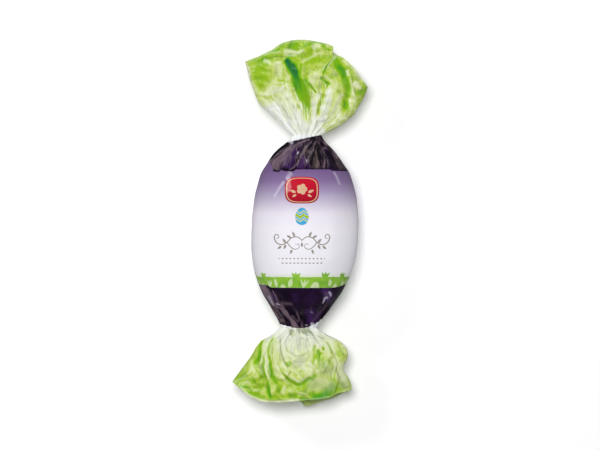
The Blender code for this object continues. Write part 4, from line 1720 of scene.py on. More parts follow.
UPPER_INK = strokes(
    (0.68, (2.6, 3), (-18.1, 74.7, -12.5, 77.3, -7.3, 79.1, -1.7, 79.5, 3.5, 79.1, 7.8, 77.3), 0.5),
    (0.5, (2.2, 1.7), (8.6, 79.1, 11.2, 76.5), 0.5),
    (0.34, (1.6, 1.4), (3, 76, 6, 75.8, 9.5, 76), 0.8, 0.2),
    (0.28, 2.2, (-10.8, 73, -10.6, 67.8, -10.4, 62.6)),
    (0.26, (2.6, 2.2), (-17.3, 58.3, -12.1, 60.9, -6.9, 62.6)),
    ((0.72, 0.58), (3.5, 2.3), (-19, 75.2, -18.4, 67.8, -18.1, 62.6,
        -18.1, 56.6), (0.6, 0.3), (0.05, 0.45)),
    (0.62, 0.86, (-22.5, 72.1, -20.7, 69.6)),
    (0.78, (1, 0.86), (-19, 74.3, -16, 73.4)),
    (0.54, (1.1, 1), (-13.8, 70.4, -13.8, 63.5), 0.8, 0.2),
    (0.3, (0.65, 1), (-24.8, 72.1, -23.2, 65.2, -21.2, 57.9), 0.5, 0.05),
    (0.46, 0.43, (-9.9, 73, -8.6, 66.5, -7.8, 59.2)),
    (0.42, (0.43, 0.35), (-18.1, 58.8, -13.8, 61.8, -8.2, 63.5)),
    (0.12, (0.39, 0.35), (-15.6, 56.6, -11.7, 60, -7.3, 62.6)),
    (0.62, (0.48, 0.3), (-11.7, 64.6, -9.9, 64.7, -8.2, 64.6)),
    (0.42, (0.86, 0.52), (-20.3, 56.2, -16.4, 56.6, -13.4, 57.5)),
    (0.3, (0.43, 0.35), (-18.6, 54, -15.1, 55.3, -13, 57.9)),
    (0.04, (2.8, 1.7), (-15.6, 54, -11.2, 49.2, -5.2, 42.8)),
    (0.2, (0.39, 0.35), (-12.1, 57, -9.9, 52.3, -6.9, 46.2)),
    (0.24, (0.39, 0.35), (-7.3, 60, -6.9, 54, -5.2, 47.1)),
    (0.66, (1.7, 1.9), (-0.4, 72.6, 3.9, 73, 9.5, 73)),
    (0.5, 2.2, (0.4, 68.7, 3.9, 68.7, 6.5, 67.4)),
    (0.54, 0.86, (1.7, 70, 3.9, 70.2)),
    (0.3, (2.2, 1.7), (3, 65.7, 6, 63.9)),
    (0.26, (1.7, 1.3), (5.6, 60.9, 4.3, 54, 3, 48)),
    (0.16, (0.73, 0.56), (6.3, 59.2, 4.8, 53.1, 2.6, 47.5)),
    ((0.82, 0.56), (2.9, 1.3), (-6.9, 74.3, -4.5, 69.1, -2.2, 63.1, 0, 57.9, 0.9, 54, 1, 49.7,
        0.7, 43.6), (0.16, 0.5), (0.06, 0.34)),
    ((0.8, 0.72), (1.4, 0.95), (-1.3, 66.1, 1.1, 61.8, 1.7, 57, 1.6, 51.4), 0.7, (0.15, 0.3)),
    (0.66, (1, 0.95), (-7.3, 74.3, -4.8, 73.2, -1.7, 71.9)),
    (0.6, (1, 0.86), (-0.2, 67, 1.1, 62.6)),
    ((0.84, 0.68), (2.6, 2.7), (-5, 67, -3.5, 63.1, -1.9, 59.2, -0.4, 55.7, 0.7, 52.3,
        1.3, 49.2), (0.3, 0.6), (0.25, 0.35)),
    ((0.9, 0.86), (1.1, 2.7), (-7.8, 73, -5.9, 69.6, -4, 65.2, -2.3, 60.9,
        -0.4, 56.2), 0.7, (0.06, 0.35)),
    ((1, 0.94), (0.69, 2.1), (-7.8, 72.7, -6, 70.6, -4.6, 68, -3.5, 65.2,
        -2.8, 62.6), 0.8, (0.06, 0.45)),
    ((0.72, 0.5), (1.5, 1.3), (0.4, 54.4, 1, 51.4, 1, 48.4, 0.6, 45.4), 0.8, (0.25, 0.55)),
    (0.97, (0.86, 0.95), (-5.4, 71, -3.9, 68.9, -2.6, 66.1), 0.8, 0.3),
    (0.97, (0.86, 0.69), (-5, 71, -3.6, 68.7), 0.8, 0.2),
    (0.78, (0.6, 0.52), (-1.3, 72.1, -1.1, 66.1)),
    (0.8, (0.95, 0.35), (-0.3, 64.8, 1.9, 62.5, 3.5, 60.5, 4.9, 58.6)),
    (0.42, (0.78, 0.43), (-4.8, 60.5, -3.5, 56.2, -1.6, 51)),
    (0.2, (0.39, 0.35), (-2.2, 55.3, -0.9, 51.4, -0.2, 46.2)),
    (0.56, (1.6, 1.3), (9.1, 72.6, 8.6, 68.7, 9.9, 65.7)),
    (0.42, (1.8, 1.7), (11.7, 70, 13.8, 67.4)),
    (0.6, (1, 0.95), (11.7, 67.4, 14.7, 66.1)),
    (0.56, (0.69, 0.6), (9.5, 64.8, 13, 65.2, 15.6, 62.6)),
    (0.84, 0.43, (13, 74.3, 10.4, 71.7, 9.3, 69.1, 8.4, 66.5), 0.7, 0.08),
    (0.84, 0.56, (7.8, 65.7, 9.1, 64.2, 10.4, 62.2), 0.7, 0.08),
    (0.76, (0.43, 0.35), (9.9, 62.6, 9.3, 60)),
    ((0.8, 0.72), (1.7, 1.4), (12.4, 74.3, 14.9, 70.4, 16.8, 67, 18.1, 63.1, 18.8, 60, 18.6, 56.6,
        17.7, 52.7, 16.6, 46.7), (0.35, 0.5), (0.05, 0.2)),
    (0.87, 0.95, (14.3, 71.9, 16.8, 67.8, 18, 63.9), 0.8, 0.25),
    (0.52, 0.43, (17.3, 56.2, 19.4, 56.2)),
    (0.82, 0.52, (18.1, 55.3, 17.3, 51.4), 0.8, 0.2),
    (0.46, (1.7, 1.4), (20.3, 69.6, 22.9, 67, 25.5, 63.9)),
    (0.4, (0.95, 0.78), (17.3, 72.6, 19.4, 70.2)),
    (0.56, (0.52, 0.43), (20.7, 64.8, 21.2, 58.8)),
    (0.3, (1.4, 1.3), (21.6, 63.5, 23.3, 60.9)),
    (0.66, (1.2, 0.95), (22.5, 58.3, 25.9, 59.6), 0.5),
    (0.7, 0.35, (25.1, 64.4, 26.8, 61.3)),
    (0.54, (1, 0.78), (23.8, 56.6, 22, 51.8)),
    (0.26, (0.69, 0.52), (20.3, 57, 19.9, 52.3)),
    (0.42, (2.2, 1.3), (21.2, 50.5, 17.3, 46.7, 13, 43.6, 8.6, 41.5)),
    (0.3, (1.3, 0.86), (14.7, 51.4, 11.7, 46.7, 7.8, 43.2)),
    (0.24, (0.52, 0.43), (18.1, 48.4, 13.8, 44.9)),
    (0.17, (1.1, 0.69), (11.7, 60.5, 9.5, 54, 6.5, 48), 0.7, 0.08),
    (0.55, (0.78, 0.48), (8.2, 60, 7.5, 54.4, 5.5, 48)),
    (0.4, (1.1, 0.65), (14.4, 60.9, 12.7, 54, 9.5, 47.5)),
    (0.24, (0.56, 0.52), (16.2, 59.6, 14.5, 53.1, 11.7, 47.5)),
    (0.84, (0.43, 0.35), (7.3, 79.1, 9.5, 78.2, 12.3, 77.5)),
    (0.74, (0.35, 0.3), (8.6, 80.1, 7.8, 77.3)),
    (0.84, (0.39, 0.3), (-14.7, 76.7, -10.8, 78.8, -7.3, 80.4)),
    (0.88, (0.39, 0.35), (2.2, 80.9, 6.5, 80.5, 10.4, 78.9)),
    (0.78, (1, 0.78), (-6.9, 79.1, -3, 79.9)),
    (0.78, (0.78, 0.52), (-0.4, 77.8, 2.6, 79.3, 6, 80.5)),
    (0.58, (0.6, 0.52), (-2.6, 80.4, -0.4, 78.6)),
    (0.8, (0.52, 0.43), (-0.2, 76.5, -1.1, 73.4)),
    soft=0.7, fade=0.12,
)
UPPER_GLARE = strokes(
    (0.32, (1, 0.86), (14.3, 47.5, 9.5, 44.1), 0.9, 0.2),
    (0.8, (1.1, 0.39), (-9.1, 75.9, -6, 76.5, -3, 75.8, 0, 76.9)),
    (0.55, (0.65, 0.48), (-7.8, 75, -3.5, 75)),
    (0.3, (0.52, 0.35), (-18.1, 75.2, -13.8, 75.8, -9.1, 76)),
    (0.75, (1.1, 0.73), (3.5, 77.5, 5.4, 78.8, 7.3, 78.5)),
    (0.42, (0.52, 0.35), (-1.3, 71.5, 3, 73.9, 7.3, 76.2)),
    (0.66, (0.82, 0.56), (-17.7, 72.8, -15.6, 72.1, -14.1, 70.8)),
    (0.34, (0.52, 0.39), (-13.4, 76, -9.5, 76.5)),
    (0.5, (0.39, 0.35), (13.8, 74.3, 11.2, 71.3, 9.9, 68.7)),
    (0.4, (0.39, 0.35), (9.2, 71.3, 8.2, 68.4)),
    (0.55, (0.56, 0.43), (8.4, 65.9, 10.2, 65.1, 12.1, 63.5)),
    (0.8, (0.65, 0.52), (18.5, 68.7, 19.2, 65.7)),
    (0.6, (1.2, 0.86), (21.2, 63.3, 23.3, 61.5, 24.9, 60.7)),
    (0.5, (0.35, 0.3), (19.7, 65.4, 20.6, 60.9, 21.3, 57.5)),
    (0.42, (0.35, 0.3), (22.2, 56.6, 22, 50.5)),
    (0.36, (0.35, 0.3), (16, 73, 19.4, 70.4, 22.5, 67.4, 25.1, 64.4)),
    (0.36, (0.48, 0.35), (14.3, 57.5, 12.5, 52.3, 9.5, 47.5)),
    (0.36, (0.43, 0.35), (13.8, 54.9, 15.6, 58.3)),
    (0.4, (0.48, 0.43), (-13.8, 54, -11.7, 48.8, -8.6, 43.6)),
    (0.4, (0.43, 0.39), (-6, 54.9, -5.6, 48.8, -3.9, 42.8)),
    (0.34, (0.35, 0.3), (0.9, 44.1, 3.9, 45.8, 6.9, 47.7)),
    soft=0.9, fade=0.1,
)
UPPER_SHADE = strokes(
    (0.28, 0.26, (11.2, 57.5, 8.6, 50.5, 3.9, 44.1)),
    (0.18, 0.26, (15.6, 57.5, 13.4, 50.5, 7.8, 44.1)),
    (0.34, 0.26, (7.3, 66.1, 6.5, 62.6, 6, 59.2)),
    (0.4, (0.3, 0.26), (20.5, 67, 21, 62.6, 22, 58.3)),
    (0.34, 0.26, (-7.8, 74, -12.1, 74.3, -16.4, 73)),
    (0.34, (0.3, 0.26), (3, 80.8, 7.3, 80.1, 10.8, 78.6)),
    (0.28, (0.3, 0.26), (-0.9, 78.2, 0, 74.7, -1.3, 72.1)),
    (0.28, 0.3, (22.5, 60, 25.1, 59.6, 26.8, 60)),
    (0.34, (0.52, 0.3), (1.7, 63.5, 3.5, 61.3, 5.2, 58.8)),
    (0.3, 0.26, (13.8, 71.7, 12.5, 68.7, 15.1, 66.1)),
    (0.34, (0.43, 0.35), (8, 65.8, 9.5, 63.9, 9.8, 61.3)),
    (0.26, 0.43, (13, 66.4, 15.1, 65.9)),
    soft=0.9, fade=0.1,
)
# Grey film, with painted shade round the neck under the gathers.
UPPER_GREY_AND_SHADE = strokes(
    (0.3, (1.3, 0.86), (-4.8, 43.6, -0.4, 42.3, 3.9, 43.2)),
    (0.45, (1.1, 0.86), (21.6, 67.8, 24.6, 64.4)),
    (0.35, (0.86, 0.69), (-12.1, 72.1, -11.7, 65.2)),
    (0.22, 1.7, (4.3, 66.5, 5.6, 62.6)),
    (0.3, (0.69, 0.6), (3.9, 58.3, 3, 51.4)),
    (0.26, (0.52, 0.43), (-15.6, 53.1, -11.2, 47.1)),
    (0.26, (0.52, 0.43), (-8.6, 54, -6.5, 48)),
    (0.35, (1, 0.86), (11.7, 67.4, 14.7, 66.1)),
    (0.3, 1.3, (-12.5, 60, -7.3, 59.2)),
    soft=0.8, fade=0.2,
)
LOWER_CREASES = creases(
    ((-9.5, -44.5, -13, -47.1, -15.1, -51, -15.6, -55.7, -14.3, -60.9, -12.1, -66.1,
        -10.4, -71.3), -1.2, 1.6, 1.4),
    ((-7.3, -44.9, -9.9, -48.4, -9.9, -53.1, -8.6, -57, -6.9, -59.6), -1, 1.2, 1.5),
    ((-16.4, -48, -19.4, -52.3, -19.9, -57, -18.1, -62.6, -17.3, -69.6), -1, 1.6, 1.4),
    ((-11.2, -44.9, -16, -49.2, -17.7, -54, -16.8, -60, -14.7, -67, -13.4, -72.6), 1.1, 1.6, 1.8),
    ((-8.6, -45.4, -12.1, -49.2, -13, -54.9, -10.8, -60, -6.5, -63.9), 1.1, 1.5, 2),
    ((-18.1, -50.1, -23.3, -57.5, -27.6, -64.4), 0.7, 1.8, 1.8),
    ((-29.4, -66.5, -24.6, -65.7, -20.7, -63.5, -18.1, -60.9), 0.9, 1.8, 2),
    ((-25.9, -68.7, -21.6, -68.7, -17.3, -67.8, -13.8, -69.6), -0.8, 1.4, 1.4),
    ((-11.2, -59.2, -6.9, -63.1, -2.6, -65.2, 0.4, -63.5, 3.9, -60.9), 0.9, 1.8, 1.2),
    ((-10.4, -60.9, -6.5, -64.8, -2.2, -67.4, 1.3, -65.2, 4.8, -62.6), -1, 1.2, 2.4),
    ((-5.2, -60, -2.6, -62.6, -0.9, -64.4), 0.5, 1.2, 1.2),
    ((5.2, -49.2, 3.9, -53.1, 4.3, -56.6), -0.7, 0.8, 0.8),
    ((6.5, -49.7, 6, -54.9, 7.3, -59.2), 0.7, 0.8, 0.8),
    ((8.6, -49.2, 7.8, -52.3), -0.5, 0.7, 0.7),
    ((9.5, -49.2, 11.2, -51.4, 12.5, -54), -0.7, 0.8, 0.8),
    ((-25.1, -70.4, -19.9, -72.6, -13.8, -73.4, -6.9, -73, -1.7, -72.6), 0.7, 1.2, 1.2),
    ((0.9, -70.4, 6, -68.7, 10.4, -67, 13.4, -64.4), 0.6, 2.2, 2.6),
    ((-8.6, -72.1, -6, -69.6, -2.2, -70.4, 1.7, -72.6), 0.7, 1.6, 1.6),
    ((11.2, -48, 15.1, -53.1, 17.3, -58.3), 0.6, 1.6, 1.6),
    ((14.7, -61.8, 16.8, -66.1, 19.9, -69.6), -0.6, 1.6, 1.6),
    ((-6, -44.1, -5.6, -48, -4.8, -53.1), 0.5, 0.9, 0.9),
    ((-3, -44.1, -2.6, -48.4, -2.2, -53.1), 0.45, 0.9, 0.9),
    ((0, -44.1, 0.4, -48.4, 0.4, -52.7), 0.5, 0.9, 0.9),
    ((2.6, -44.1, 3.5, -47.5, 3.9, -51), 0.5, 0.9, 0.9),
)
LOWER_INK = strokes(
    (0.54, (1.7, 2.6), (-18.6, -49.2, -22.5, -54.9, -25.9, -60, -29.4, -65.2), 0.5, 0.08),
    (0.68, (0.86, 1.3), (-23.3, -60.5, -26.8, -64.4, -28.9, -65.7)),
    (0.34, (0.86, 0.69), (-20.3, -56.2, -22.5, -59.6, -25.1, -63.1)),
    (0.64, (1.7, 2.2), (-26.8, -67, -22.5, -67.8, -17.3, -70)),
    (0.74, (1.1, 1), (-24.2, -64.8, -20.3, -65.7)),
    (0.8, 0.48, (-27.6, -68, -23.3, -69.1)),
    (0.76, (0.69, 0.78), (-25.1, -70.2, -20.7, -71.3, -16.8, -72.6)),
    (0.42, 0.48, (-23.3, -68.7, -19.4, -69.6)),
    (0.44, (0.52, 0.43), (-26.8, -65.7, -23.3, -63.9, -21.2, -62.6)),
    (0.56, (1.3, 1.5), (-12.1, -68.7, -9.9, -72.1)),
    ((0.74, 0.78), (0.6, 1.2), (-17.3, -47.5, -19.4, -51.8, -20.1, -55.3,
        -20.1, -60.5), (0.3, 0.6), (0.1, 0.2)),
    (0.84, (0.52, 0.56), (-18.8, -51, -19.7, -54, -20, -57.9), 0.8, 0.25),
    (0.68, (0.95, 0.6), (-19.9, -57.5, -19.2, -60.9, -19.2, -64.8), 0.7, 0.2),
    (0.44, (0.56, 0.43), (-18.4, -58.8, -17.9, -63.1)),
    ((0.74, 0.84), (0.39, 1.2), (-18.1, -53.1, -17.7, -57.5, -16.8, -61.8, -16, -66.1, -14.9, -70.4,
        -14.3, -73.9), (0.3, 0.6), (0.1, 0.06)),
    (0.66, 0.69, (-17.3, -61.3, -16.4, -66.5), 0.8, 0.2),
    (0.88, (0.52, 0.6), (-15.1, -69.1, -14.3, -73), 0.8, 0.2),
    (0.26, (0.73, 0.56), (-15.1, -48.4, -16.9, -52.3, -16.6, -57, -15.6, -61.8,
        -14.9, -65.2), 0.6, 0.08),
    (0.46, (0.52, 0.48), (-14.9, -64.8, -14, -68.7, -13.4, -72.6)),
    ((0.72, 0.8), (0.39, 0.82), (-12.1, -45.4, -14, -48.8, -14.9, -52.3, -14.9, -57, -14.3, -60.9,
        -13, -64.4, -11.7, -67.8), (0.8, 0.4), (0.12, 0.08)),
    (0.8, (0.69, 1), (-14.3, -59.6, -12.5, -65.2), 0.6, 0.3),
    (0.3, (1.4, 0.95), (-11.2, -47.1, -13, -51.4, -13.2, -56.6, -11.7, -60.9, -9.1, -64.8,
        -6, -67.2), 0.7, 0.08),
    (0.44, (0.26, 0.35), (-12.1, -52.3, -11.2, -57.5, -9.1, -61.3, -6, -64.4)),
    (0.4, (0.26, 0.3), (-13, -49.7, -13.8, -54, -13, -59.2, -10.4, -63.5)),
    (0.5, (0.3, 0.35), (-10.6, -53.1, -10.1, -57.5, -8.2, -60.9)),
    (0.7, (1.3, 1.1), (-11.2, -67.4, -10.8, -70.8)),
    (0.36, (1.1, 0.95), (-7.1, -66.5, -9.5, -71.3), 0.5),
    (0.5, (0.65, 0.52), (-13.6, -67, -12.5, -71.7)),
    (0.5, (0.95, 0.78), (-12.1, -63.5, -8.6, -66.5, -4.8, -68.5)),
    (0.62, (1.1, 0.95), (-6.7, -56.6, -5.8, -59.2)),
    (0.76, (0.48, 0.39), (-6.7, -57.3, -6, -59.2)),
    (0.74, (0.39, 0.52), (-11, -60, -8.2, -62.9, -5.6, -65, -2.2, -66.9), (0.4, 0.9)),
    (0.5, 0.52, (-9.9, -60.3, -8.6, -61.3)),
    (0.22, (2.6, 2.2), (-3.5, -55.3, -0.9, -58.3, 0, -60.9)),
    (0.44, (0.86, 0.73), (-1.9, -62.2, -0.2, -62.2)),
    (0.36, (0.6, 0.52), (-1.7, -55.1, 0, -54.9)),
    (0.46, 1.5, (3.9, -53.1, 8.6, -55.3), 0.8, 0.2),
    (0.48, (2.6, 2.2), (6, -60.5, 9.9, -58.3, 11.7, -63.9)),
    (0.36, 2.6, (3.9, -64.8, 9.5, -65.2)),
    (0.38, 1.3, (7.3, -63.5, 9.5, -67.4)),
    (0.54, 1.7, (0.4, -69.1, 5.2, -68.3, 10.8, -69.6)),
    (0.78, (0.65, 0.86), (-4.3, -66.5, -0.4, -66.9, 2.2, -65.1, 5, -62.2), (0.4, 0.9)),
    (0.78, (2.4, 1.5), (1.7, -73, 6.9, -72, 11.2, -70, 13.2, -66.5)),
    (0.88, (1.8, 1.4), (2.2, -73, 6.9, -72.1, 12.1, -70.4), 0.8, 0.2),
    (0.88, 0.86, (3, -73.4, 8.2, -72.7), 0.8, 0.2),
    (0.76, 1, (-7.3, -71.5, -2.6, -72.4)),
    (0.52, (0.73, 0.56), (-3, -70.6, 1.7, -71.3)),
    (0.84, (0.69, 0.6), (-2.2, -73.2, 3, -73.2)),
    (0.64, (0.95, 0.86), (-5.6, -69.1, -0.9, -68.7)),
    (0.6, (1.4, 1.5), (6, -51, 6.5, -57.5), 0.9, 0.2),
    (0.66, (0.43, 0.39), (5.4, -49.2, 4.7, -51.2, 4.5, -53.1), 0.9, 0.2),
    (0.8, (0.56, 0.52), (6.3, -50.5, 6, -53, 6.5, -55.6, 6.7, -58.3), 0.9),
    (0.74, (0.52, 0.35), (7.6, -49.7, 8.2, -52.1), 0.9, 0.2),
    (0.7, 0.39, (9.5, -57, 8.2, -59.4)),
    (0.66, (0.39, 0.35), (4.8, -54.9, 4.1, -58.3)),
    (0.62, (0.56, 0.52), (7.6, -54.9, 8, -58.3)),
    (0.5, 1.7, (13.8, -54, 17.3, -53.1, 17.7, -57.5), 0.5),
    (0.6, (0.69, 0.6), (14.3, -54.4, 16.4, -53.6)),
    (0.36, 1.3, (13, -49.2, 16, -51)),
    (0.3, (0.86, 1.1), (11.2, -55.7, 13, -59.2, 13.8, -64.4)),
    (0.3, (1.7, 1.5), (14.7, -57.5, 16.4, -61.8, 17.3, -66.1)),
    (0.5, (0.95, 1.5), (17.3, -64.4, 18.1, -67, 18.8, -69.1)),
    (0.58, (0.6, 0.52), (16.8, -68.3, 19.9, -69.1)),
    (0.42, 0.86, (14.3, -72.1, 17.7, -70.8)),
    (0.72, (0.35, 0.3), (9.5, -48.6, 11.7, -51.2, 13, -54), 0.7, 0.08),
    (0.68, (0.3, 0.26), (13.6, -60, 14, -65.2, 13.2, -69.6)),
    soft=0.7, fade=0.12,
)
LOWER_GLARE = strokes(
    (0.95, (0.56, 0.6), (-26.4, -70.2, -22.5, -72.6, -18.1, -74.1, -12.5, -74.6, -6, -74,
        -1.7, -73.7), 0.9, 0.03),
    (0.6, (0.3, 0.26), (6, -74.9, 9.9, -74)),
    (0.55, (0.39, 0.35), (-6.5, -61.8, -4.1, -64.4, -2.4, -65.8, 0, -64.4, 3, -61.6)),
    (0.34, 0.35, (-5.6, -59.2, -3, -61.8, 0, -62.2)),
    (0.5, (0.39, 0.3), (5.3, -50.5, 5.1, -53.6)),
    (0.4, (0.43, 0.35), (5, -55.7, 5.4, -58.1)),
    (0.5, (0.3, 0.26), (7.2, -50.1, 7.3, -53.1)),
    (0.36, (0.69, 0.6), (9.1, -55.3, 9.7, -59.2)),
    (0.46, (0.69, 0.65), (7.8, -47.1, 11.2, -50.3, 13.4, -54, 15, -58.8, 16.5, -63.5), 0.9, 0.05),
    (0.34, (0.95, 0.86), (6.5, -45.1, 10.4, -47.5, 13.8, -50.5)),
    (0.36, (0.43, 0.39), (-13.8, -48.4, -16, -52.3, -15.8, -57, -15.1, -60.9,
        -14.7, -63.9), 0.9, 0.06),
    (0.36, (0.39, 0.35), (-10.8, -46.7, -11.9, -51.4, -11, -56.6, -8.6, -60.5), 0.9, 0.06),
    (0.4, (0.39, 0.35), (-9.1, -46.7, -9.3, -51.4, -8.2, -55.3, -5.6, -58.8, -3, -60.5), 0.9, 0.06),
    (0.4, (0.6, 0.52), (-7.8, -67.4, -9.1, -70.8)),
    (0.32, (0.43, 0.39), (-2.2, -70.6, 1.3, -71.1)),
    (0.32, (0.39, 0.35), (-30.5, -65.9, -26.8, -64.4, -23.3, -61.3, -20.7, -58.3)),
    (0.34, (0.39, 0.35), (-26.4, -66.7, -24.2, -65.9, -22.9, -67.4)),
    (0.34, (0.43, 0.35), (-22.5, -70, -19.9, -69.3, -17.7, -70.6)),
    (0.46, 0.26, (-3.5, -47.1, -4.1, -52.3)),
    (0.46, 0.26, (0.4, -47.1, 1.3, -51.8)),
    (0.75, (0.43, 0.35), (-5.6, -46.7, -3.5, -44.1, -1.7, -45.8, 0.9, -45.8)),
    (0.42, (0.6, 0.52), (16, -51.8, 18.6, -54)),
    (0.3, (1, 0.86), (15.6, -58.3, 16.8, -62.6, 16.7, -67), 0.9, 0.15),
    soft=0.9, fade=0.1,
)
LOWER_SHADE = strokes(
    (0.6, (0.19, 0.15), (-6, -44.1, -5.1, -46.9)),
    (0.55, (0.19, 0.15), (-4.8, -43.6, -3.8, -46.1)),
    (0.5, (0.17, 0.15), (-3.3, -43, -3.4, -45.2)),
    (0.6, (0.22, 0.17), (-1, -43.5, 0.4, -45.4, 2.9, -45.8)),
    (0.5, (0.19, 0.15), (0.9, -43.4, 3.2, -44.8, 4.5, -46.5)),
    (0.4, (0.17, 0.15), (-2.2, -46.7, 0.4, -47.3)),
    (0.4, (0.17, 0.15), (2.2, -46.7, 5.2, -47.3)),
    (0.46, 0.24, (-10, -44.9, -10.3, -50.1, -9.5, -54.4, -7.9, -58.5)),
    (0.5, (0.39, 0.35), (-8.2, -57.5, -6.7, -59.9)),
    (0.3, 0.26, (-6.5, -52.7, -3.5, -54.6, -0.4, -54.3, 2.6, -51.8)),
    (0.24, 0.26, (-7.3, -54.9, -3.9, -57, 0, -57)),
    (0.26, 0.26, (-7.8, -51, -6.5, -53.1, -3.9, -53.6)),
    (0.26, 0.22, (-2.4, -46.7, -2.6, -52.3)),
    (0.28, 0.22, (1.5, -46.7, 2.6, -51)),
    (0.32, 0.22, (-6.9, -45.4, -7.8, -49.7, -6.9, -53.1)),
    (0.44, 0.26, (5.6, -45.4, 9.1, -48.4, 11.7, -51.4, 13.2, -54.4)),
    (0.24, 0.26, (13.8, -59.2, 14.5, -64.4, 13.6, -69.6)),
    (0.4, 0.3, (-3.9, -64.2, -2.4, -66.1, -0.4, -64.6)),
    (0.34, 0.86, (-6.5, -71.5, -3.5, -72.1), 0.8, 0.2),
    (0.28, 0.3, (-27.2, -67.8, -22.5, -69.6, -18.1, -72.1)),
    (0.28, 0.3, (-22.5, -63.5, -20.3, -67, -18.1, -68.7)),
    (0.28, 0.3, (-12.1, -67.4, -8.6, -73)),
    (0.26, 0.3, (-3, -69.8, 0.9, -70.2, 3, -72.1)),
    (0.28, 0.3, (16.4, -53.1, 18.1, -55.7)),
    (0.36, 0.35, (16, -66.5, 17.7, -68.7, 19.9, -67.8)),
    (0.45, (0.35, 0.22), (-6.7, -43, -5.9, -45.4)),
    (0.45, (0.26, 0.22), (-5, -43.1, -5.3, -45.1)),
    (0.4, 0.22, (-2.2, -43.5, -1.5, -45.8)),
    (0.45, (0.3, 0.22), (0, -43.5, 1.7, -45.1)),
    (0.45, (0.26, 0.22), (2.2, -43, 3.7, -44.9)),
    (0.45, (0.26, 0.22), (3.3, -44.7, 4.6, -46.7)),
    (0.15, (0.52, 0.43), (0.4, -74.6, 6, -74.1), 0.8, 0.2),
    soft=0.9, fade=0.1,
)
# Grey film, with painted shade round the neck under the gathers.
LOWER_GREY_AND_SHADE = strokes(
    (0.95, (1.3, 0.95), (-6.9, -43.4, -5.6, -44.5, -5.6, -46.2)),
    (0.9, (0.86, 0.69), (-2.6, -43.4, 0.4, -44.5, 3, -44.5, 4.5, -46.7)),
    (0.9, (0.95, 0.86), (-3.9, -43.2, 3.5, -43.2)),
    (0.5, (3, 2.6), (-3.5, -55.3, -0.4, -58.8)),
    (0.35, (2.6, 2.2), (-4.8, -49.2, 1.7, -49.2)),
    (0.55, 2.2, (16, -60, 17.7, -67, 18.1, -70)),
    (0.42, (2.6, 2.2), (5.2, -59.2, 9.5, -60, 13, -63.5)),
    (0.45, 2.6, (0, -67, 7.8, -67, 14.7, -67.8)),
    (0.4, (0.69, 0.6), (-16.8, -52.3, -17.3, -55.7)),
    (0.45, (0.6, 0.52), (-18.6, -58.3, -18.1, -62.6)),
    (0.4, 0.52, (-10.8, -50.5, -9.9, -57.5)),
    soft=0.8, fade=0.2,
)


def film_tails(film: bpy.types.Material) -> tuple[FilmTail, FilmTail]:
    """The two tails, with their outlines, creases and print.

    Args:
        film: the material of their film.

    Returns:
        The upper and the lower tail.
    """
    upper = FilmTail(
        name="upper_tail_film",
        node="upper_tail",
        film=film,
        neck_y=UPPER_NECK_Y,
        way=1,
        left_edge=((0, 54), (4.3, 53), (9.5, 50.6), (15, 48.6), (19.6, 48.2), (23.2, 45),
            (27, 41.3), (30.5, 38.7), (33.7, 36.2), (38.4, 33.5)),
        right_edge=((0, 74), (4.7, 69), (8.5, 66), (12.2, 62.5), (17.9, 57.5), (20.4, 53.8),
            (24.2, 50.1), (29.3, 45)),
        front_rim=((-1, 38.2), (-0.93, 37.7), (-0.81, 37.5), (-0.7, 38), (-0.6, 38.4),
            (-0.52, 39.6), (-0.435, 40.4), (-0.34, 40.8), (-0.25, 41), (-0.15, 40.9),
            (-0.06, 40.5), (0.05, 40.2), (0.14, 39.9), (0.23, 39.2), (0.262, 35.3),
            (0.34, 35.9), (0.42, 35.7), (0.55, 34.2), (0.69, 32.5), (0.82, 30.8), (1, 29.3)),
        back_rim=((-1, 38.2), (-0.4, 37.8), (0.2, 38.2), (0.6, 33.2), (1, 29.3)),
        bell_height=((0, 9), (0.2, 9.2), (0.6, 13.8), (1, 15.5)),
        droop=2.0,
        creases=UPPER_CREASES,
        ground=((0, 0.08), (0.2, 0.12), (0.4, 0.24), (0.6, 0.38), (0.8, 0.52), (1, 0.62)),
        prints=UPPER_INK,
        glares=UPPER_GLARE,
        shades=UPPER_SHADE,
        greys_and_shades=UPPER_GREY_AND_SHADE,
        seed=11,
    )
    lower = FilmTail(
        name="lower_tail_film",
        node="lower_tail",
        film=film,
        neck_y=LOWER_NECK_Y,
        way=-1,
        left_edge=((0, 52), (2.4, 52), (6.4, 56), (10.3, 58.2), (13.5, 54), (17.6, 48.2),
            (21.9, 45.7), (26.2, 44.2), (29.8, 43.2), (32, 42.7)),
        right_edge=((0, 46), (4.9, 56), (8.2, 60), (11.7, 60.3), (15, 58), (17.5, 53),
            (18.6, 48.8), (19.9, 40), (21.1, 34.6), (22.4, 33.3), (25.5, 33.3), (28.4, 32.6),
            (31.2, 30.3)),
        front_rim=((-1, 31.9), (-0.91, 32.4), (-0.79, 32.8), (-0.7, 33.6), (-0.59, 34.2),
            (-0.46, 34.3), (-0.31, 33.8), (-0.01, 32), (0.13, 31.5), (0.3, 31.2), (0.5, 31.4),
            (0.65, 31.4), (0.74, 30.6), (1, 31.2)),
        back_rim=((-1, 31.9), (-0.4, 32.2), (0.16, 32.4), (0.205, 34.5), (0.29, 34.4),
            (0.42, 33.3), (0.55, 32.9), (0.68, 32.4), (0.82, 31.6), (1, 31.2)),
        bell_height=((0, 11.5), (0.2, 10.5), (0.6, 13.8), (1, 15.5)),
        droop=3.5,
        creases=LOWER_CREASES,
        lap_edge=((0, 0.88), (0.14, 0.84), (0.24, 0.79), (0.41, 0.71), (0.56, 0.70),
            (0.70, 0.85), (0.83, 0.82), (0.92, 0.73), (1, 0.67)),
        lap_drop=1.8,
        ground=((0, 0.08), (0.25, 0.18), (0.45, 0.28), (0.65, 0.40), (0.85, 0.56), (1, 0.60)),
        prints=LOWER_INK,
        glares=LOWER_GLARE,
        shades=LOWER_SHADE,
        greys_and_shades=LOWER_GREY_AND_SHADE,
        seed=31,
        pleats_fade=(0.34, 0.14),
    )
    return upper, lower


# ----- The studio -----


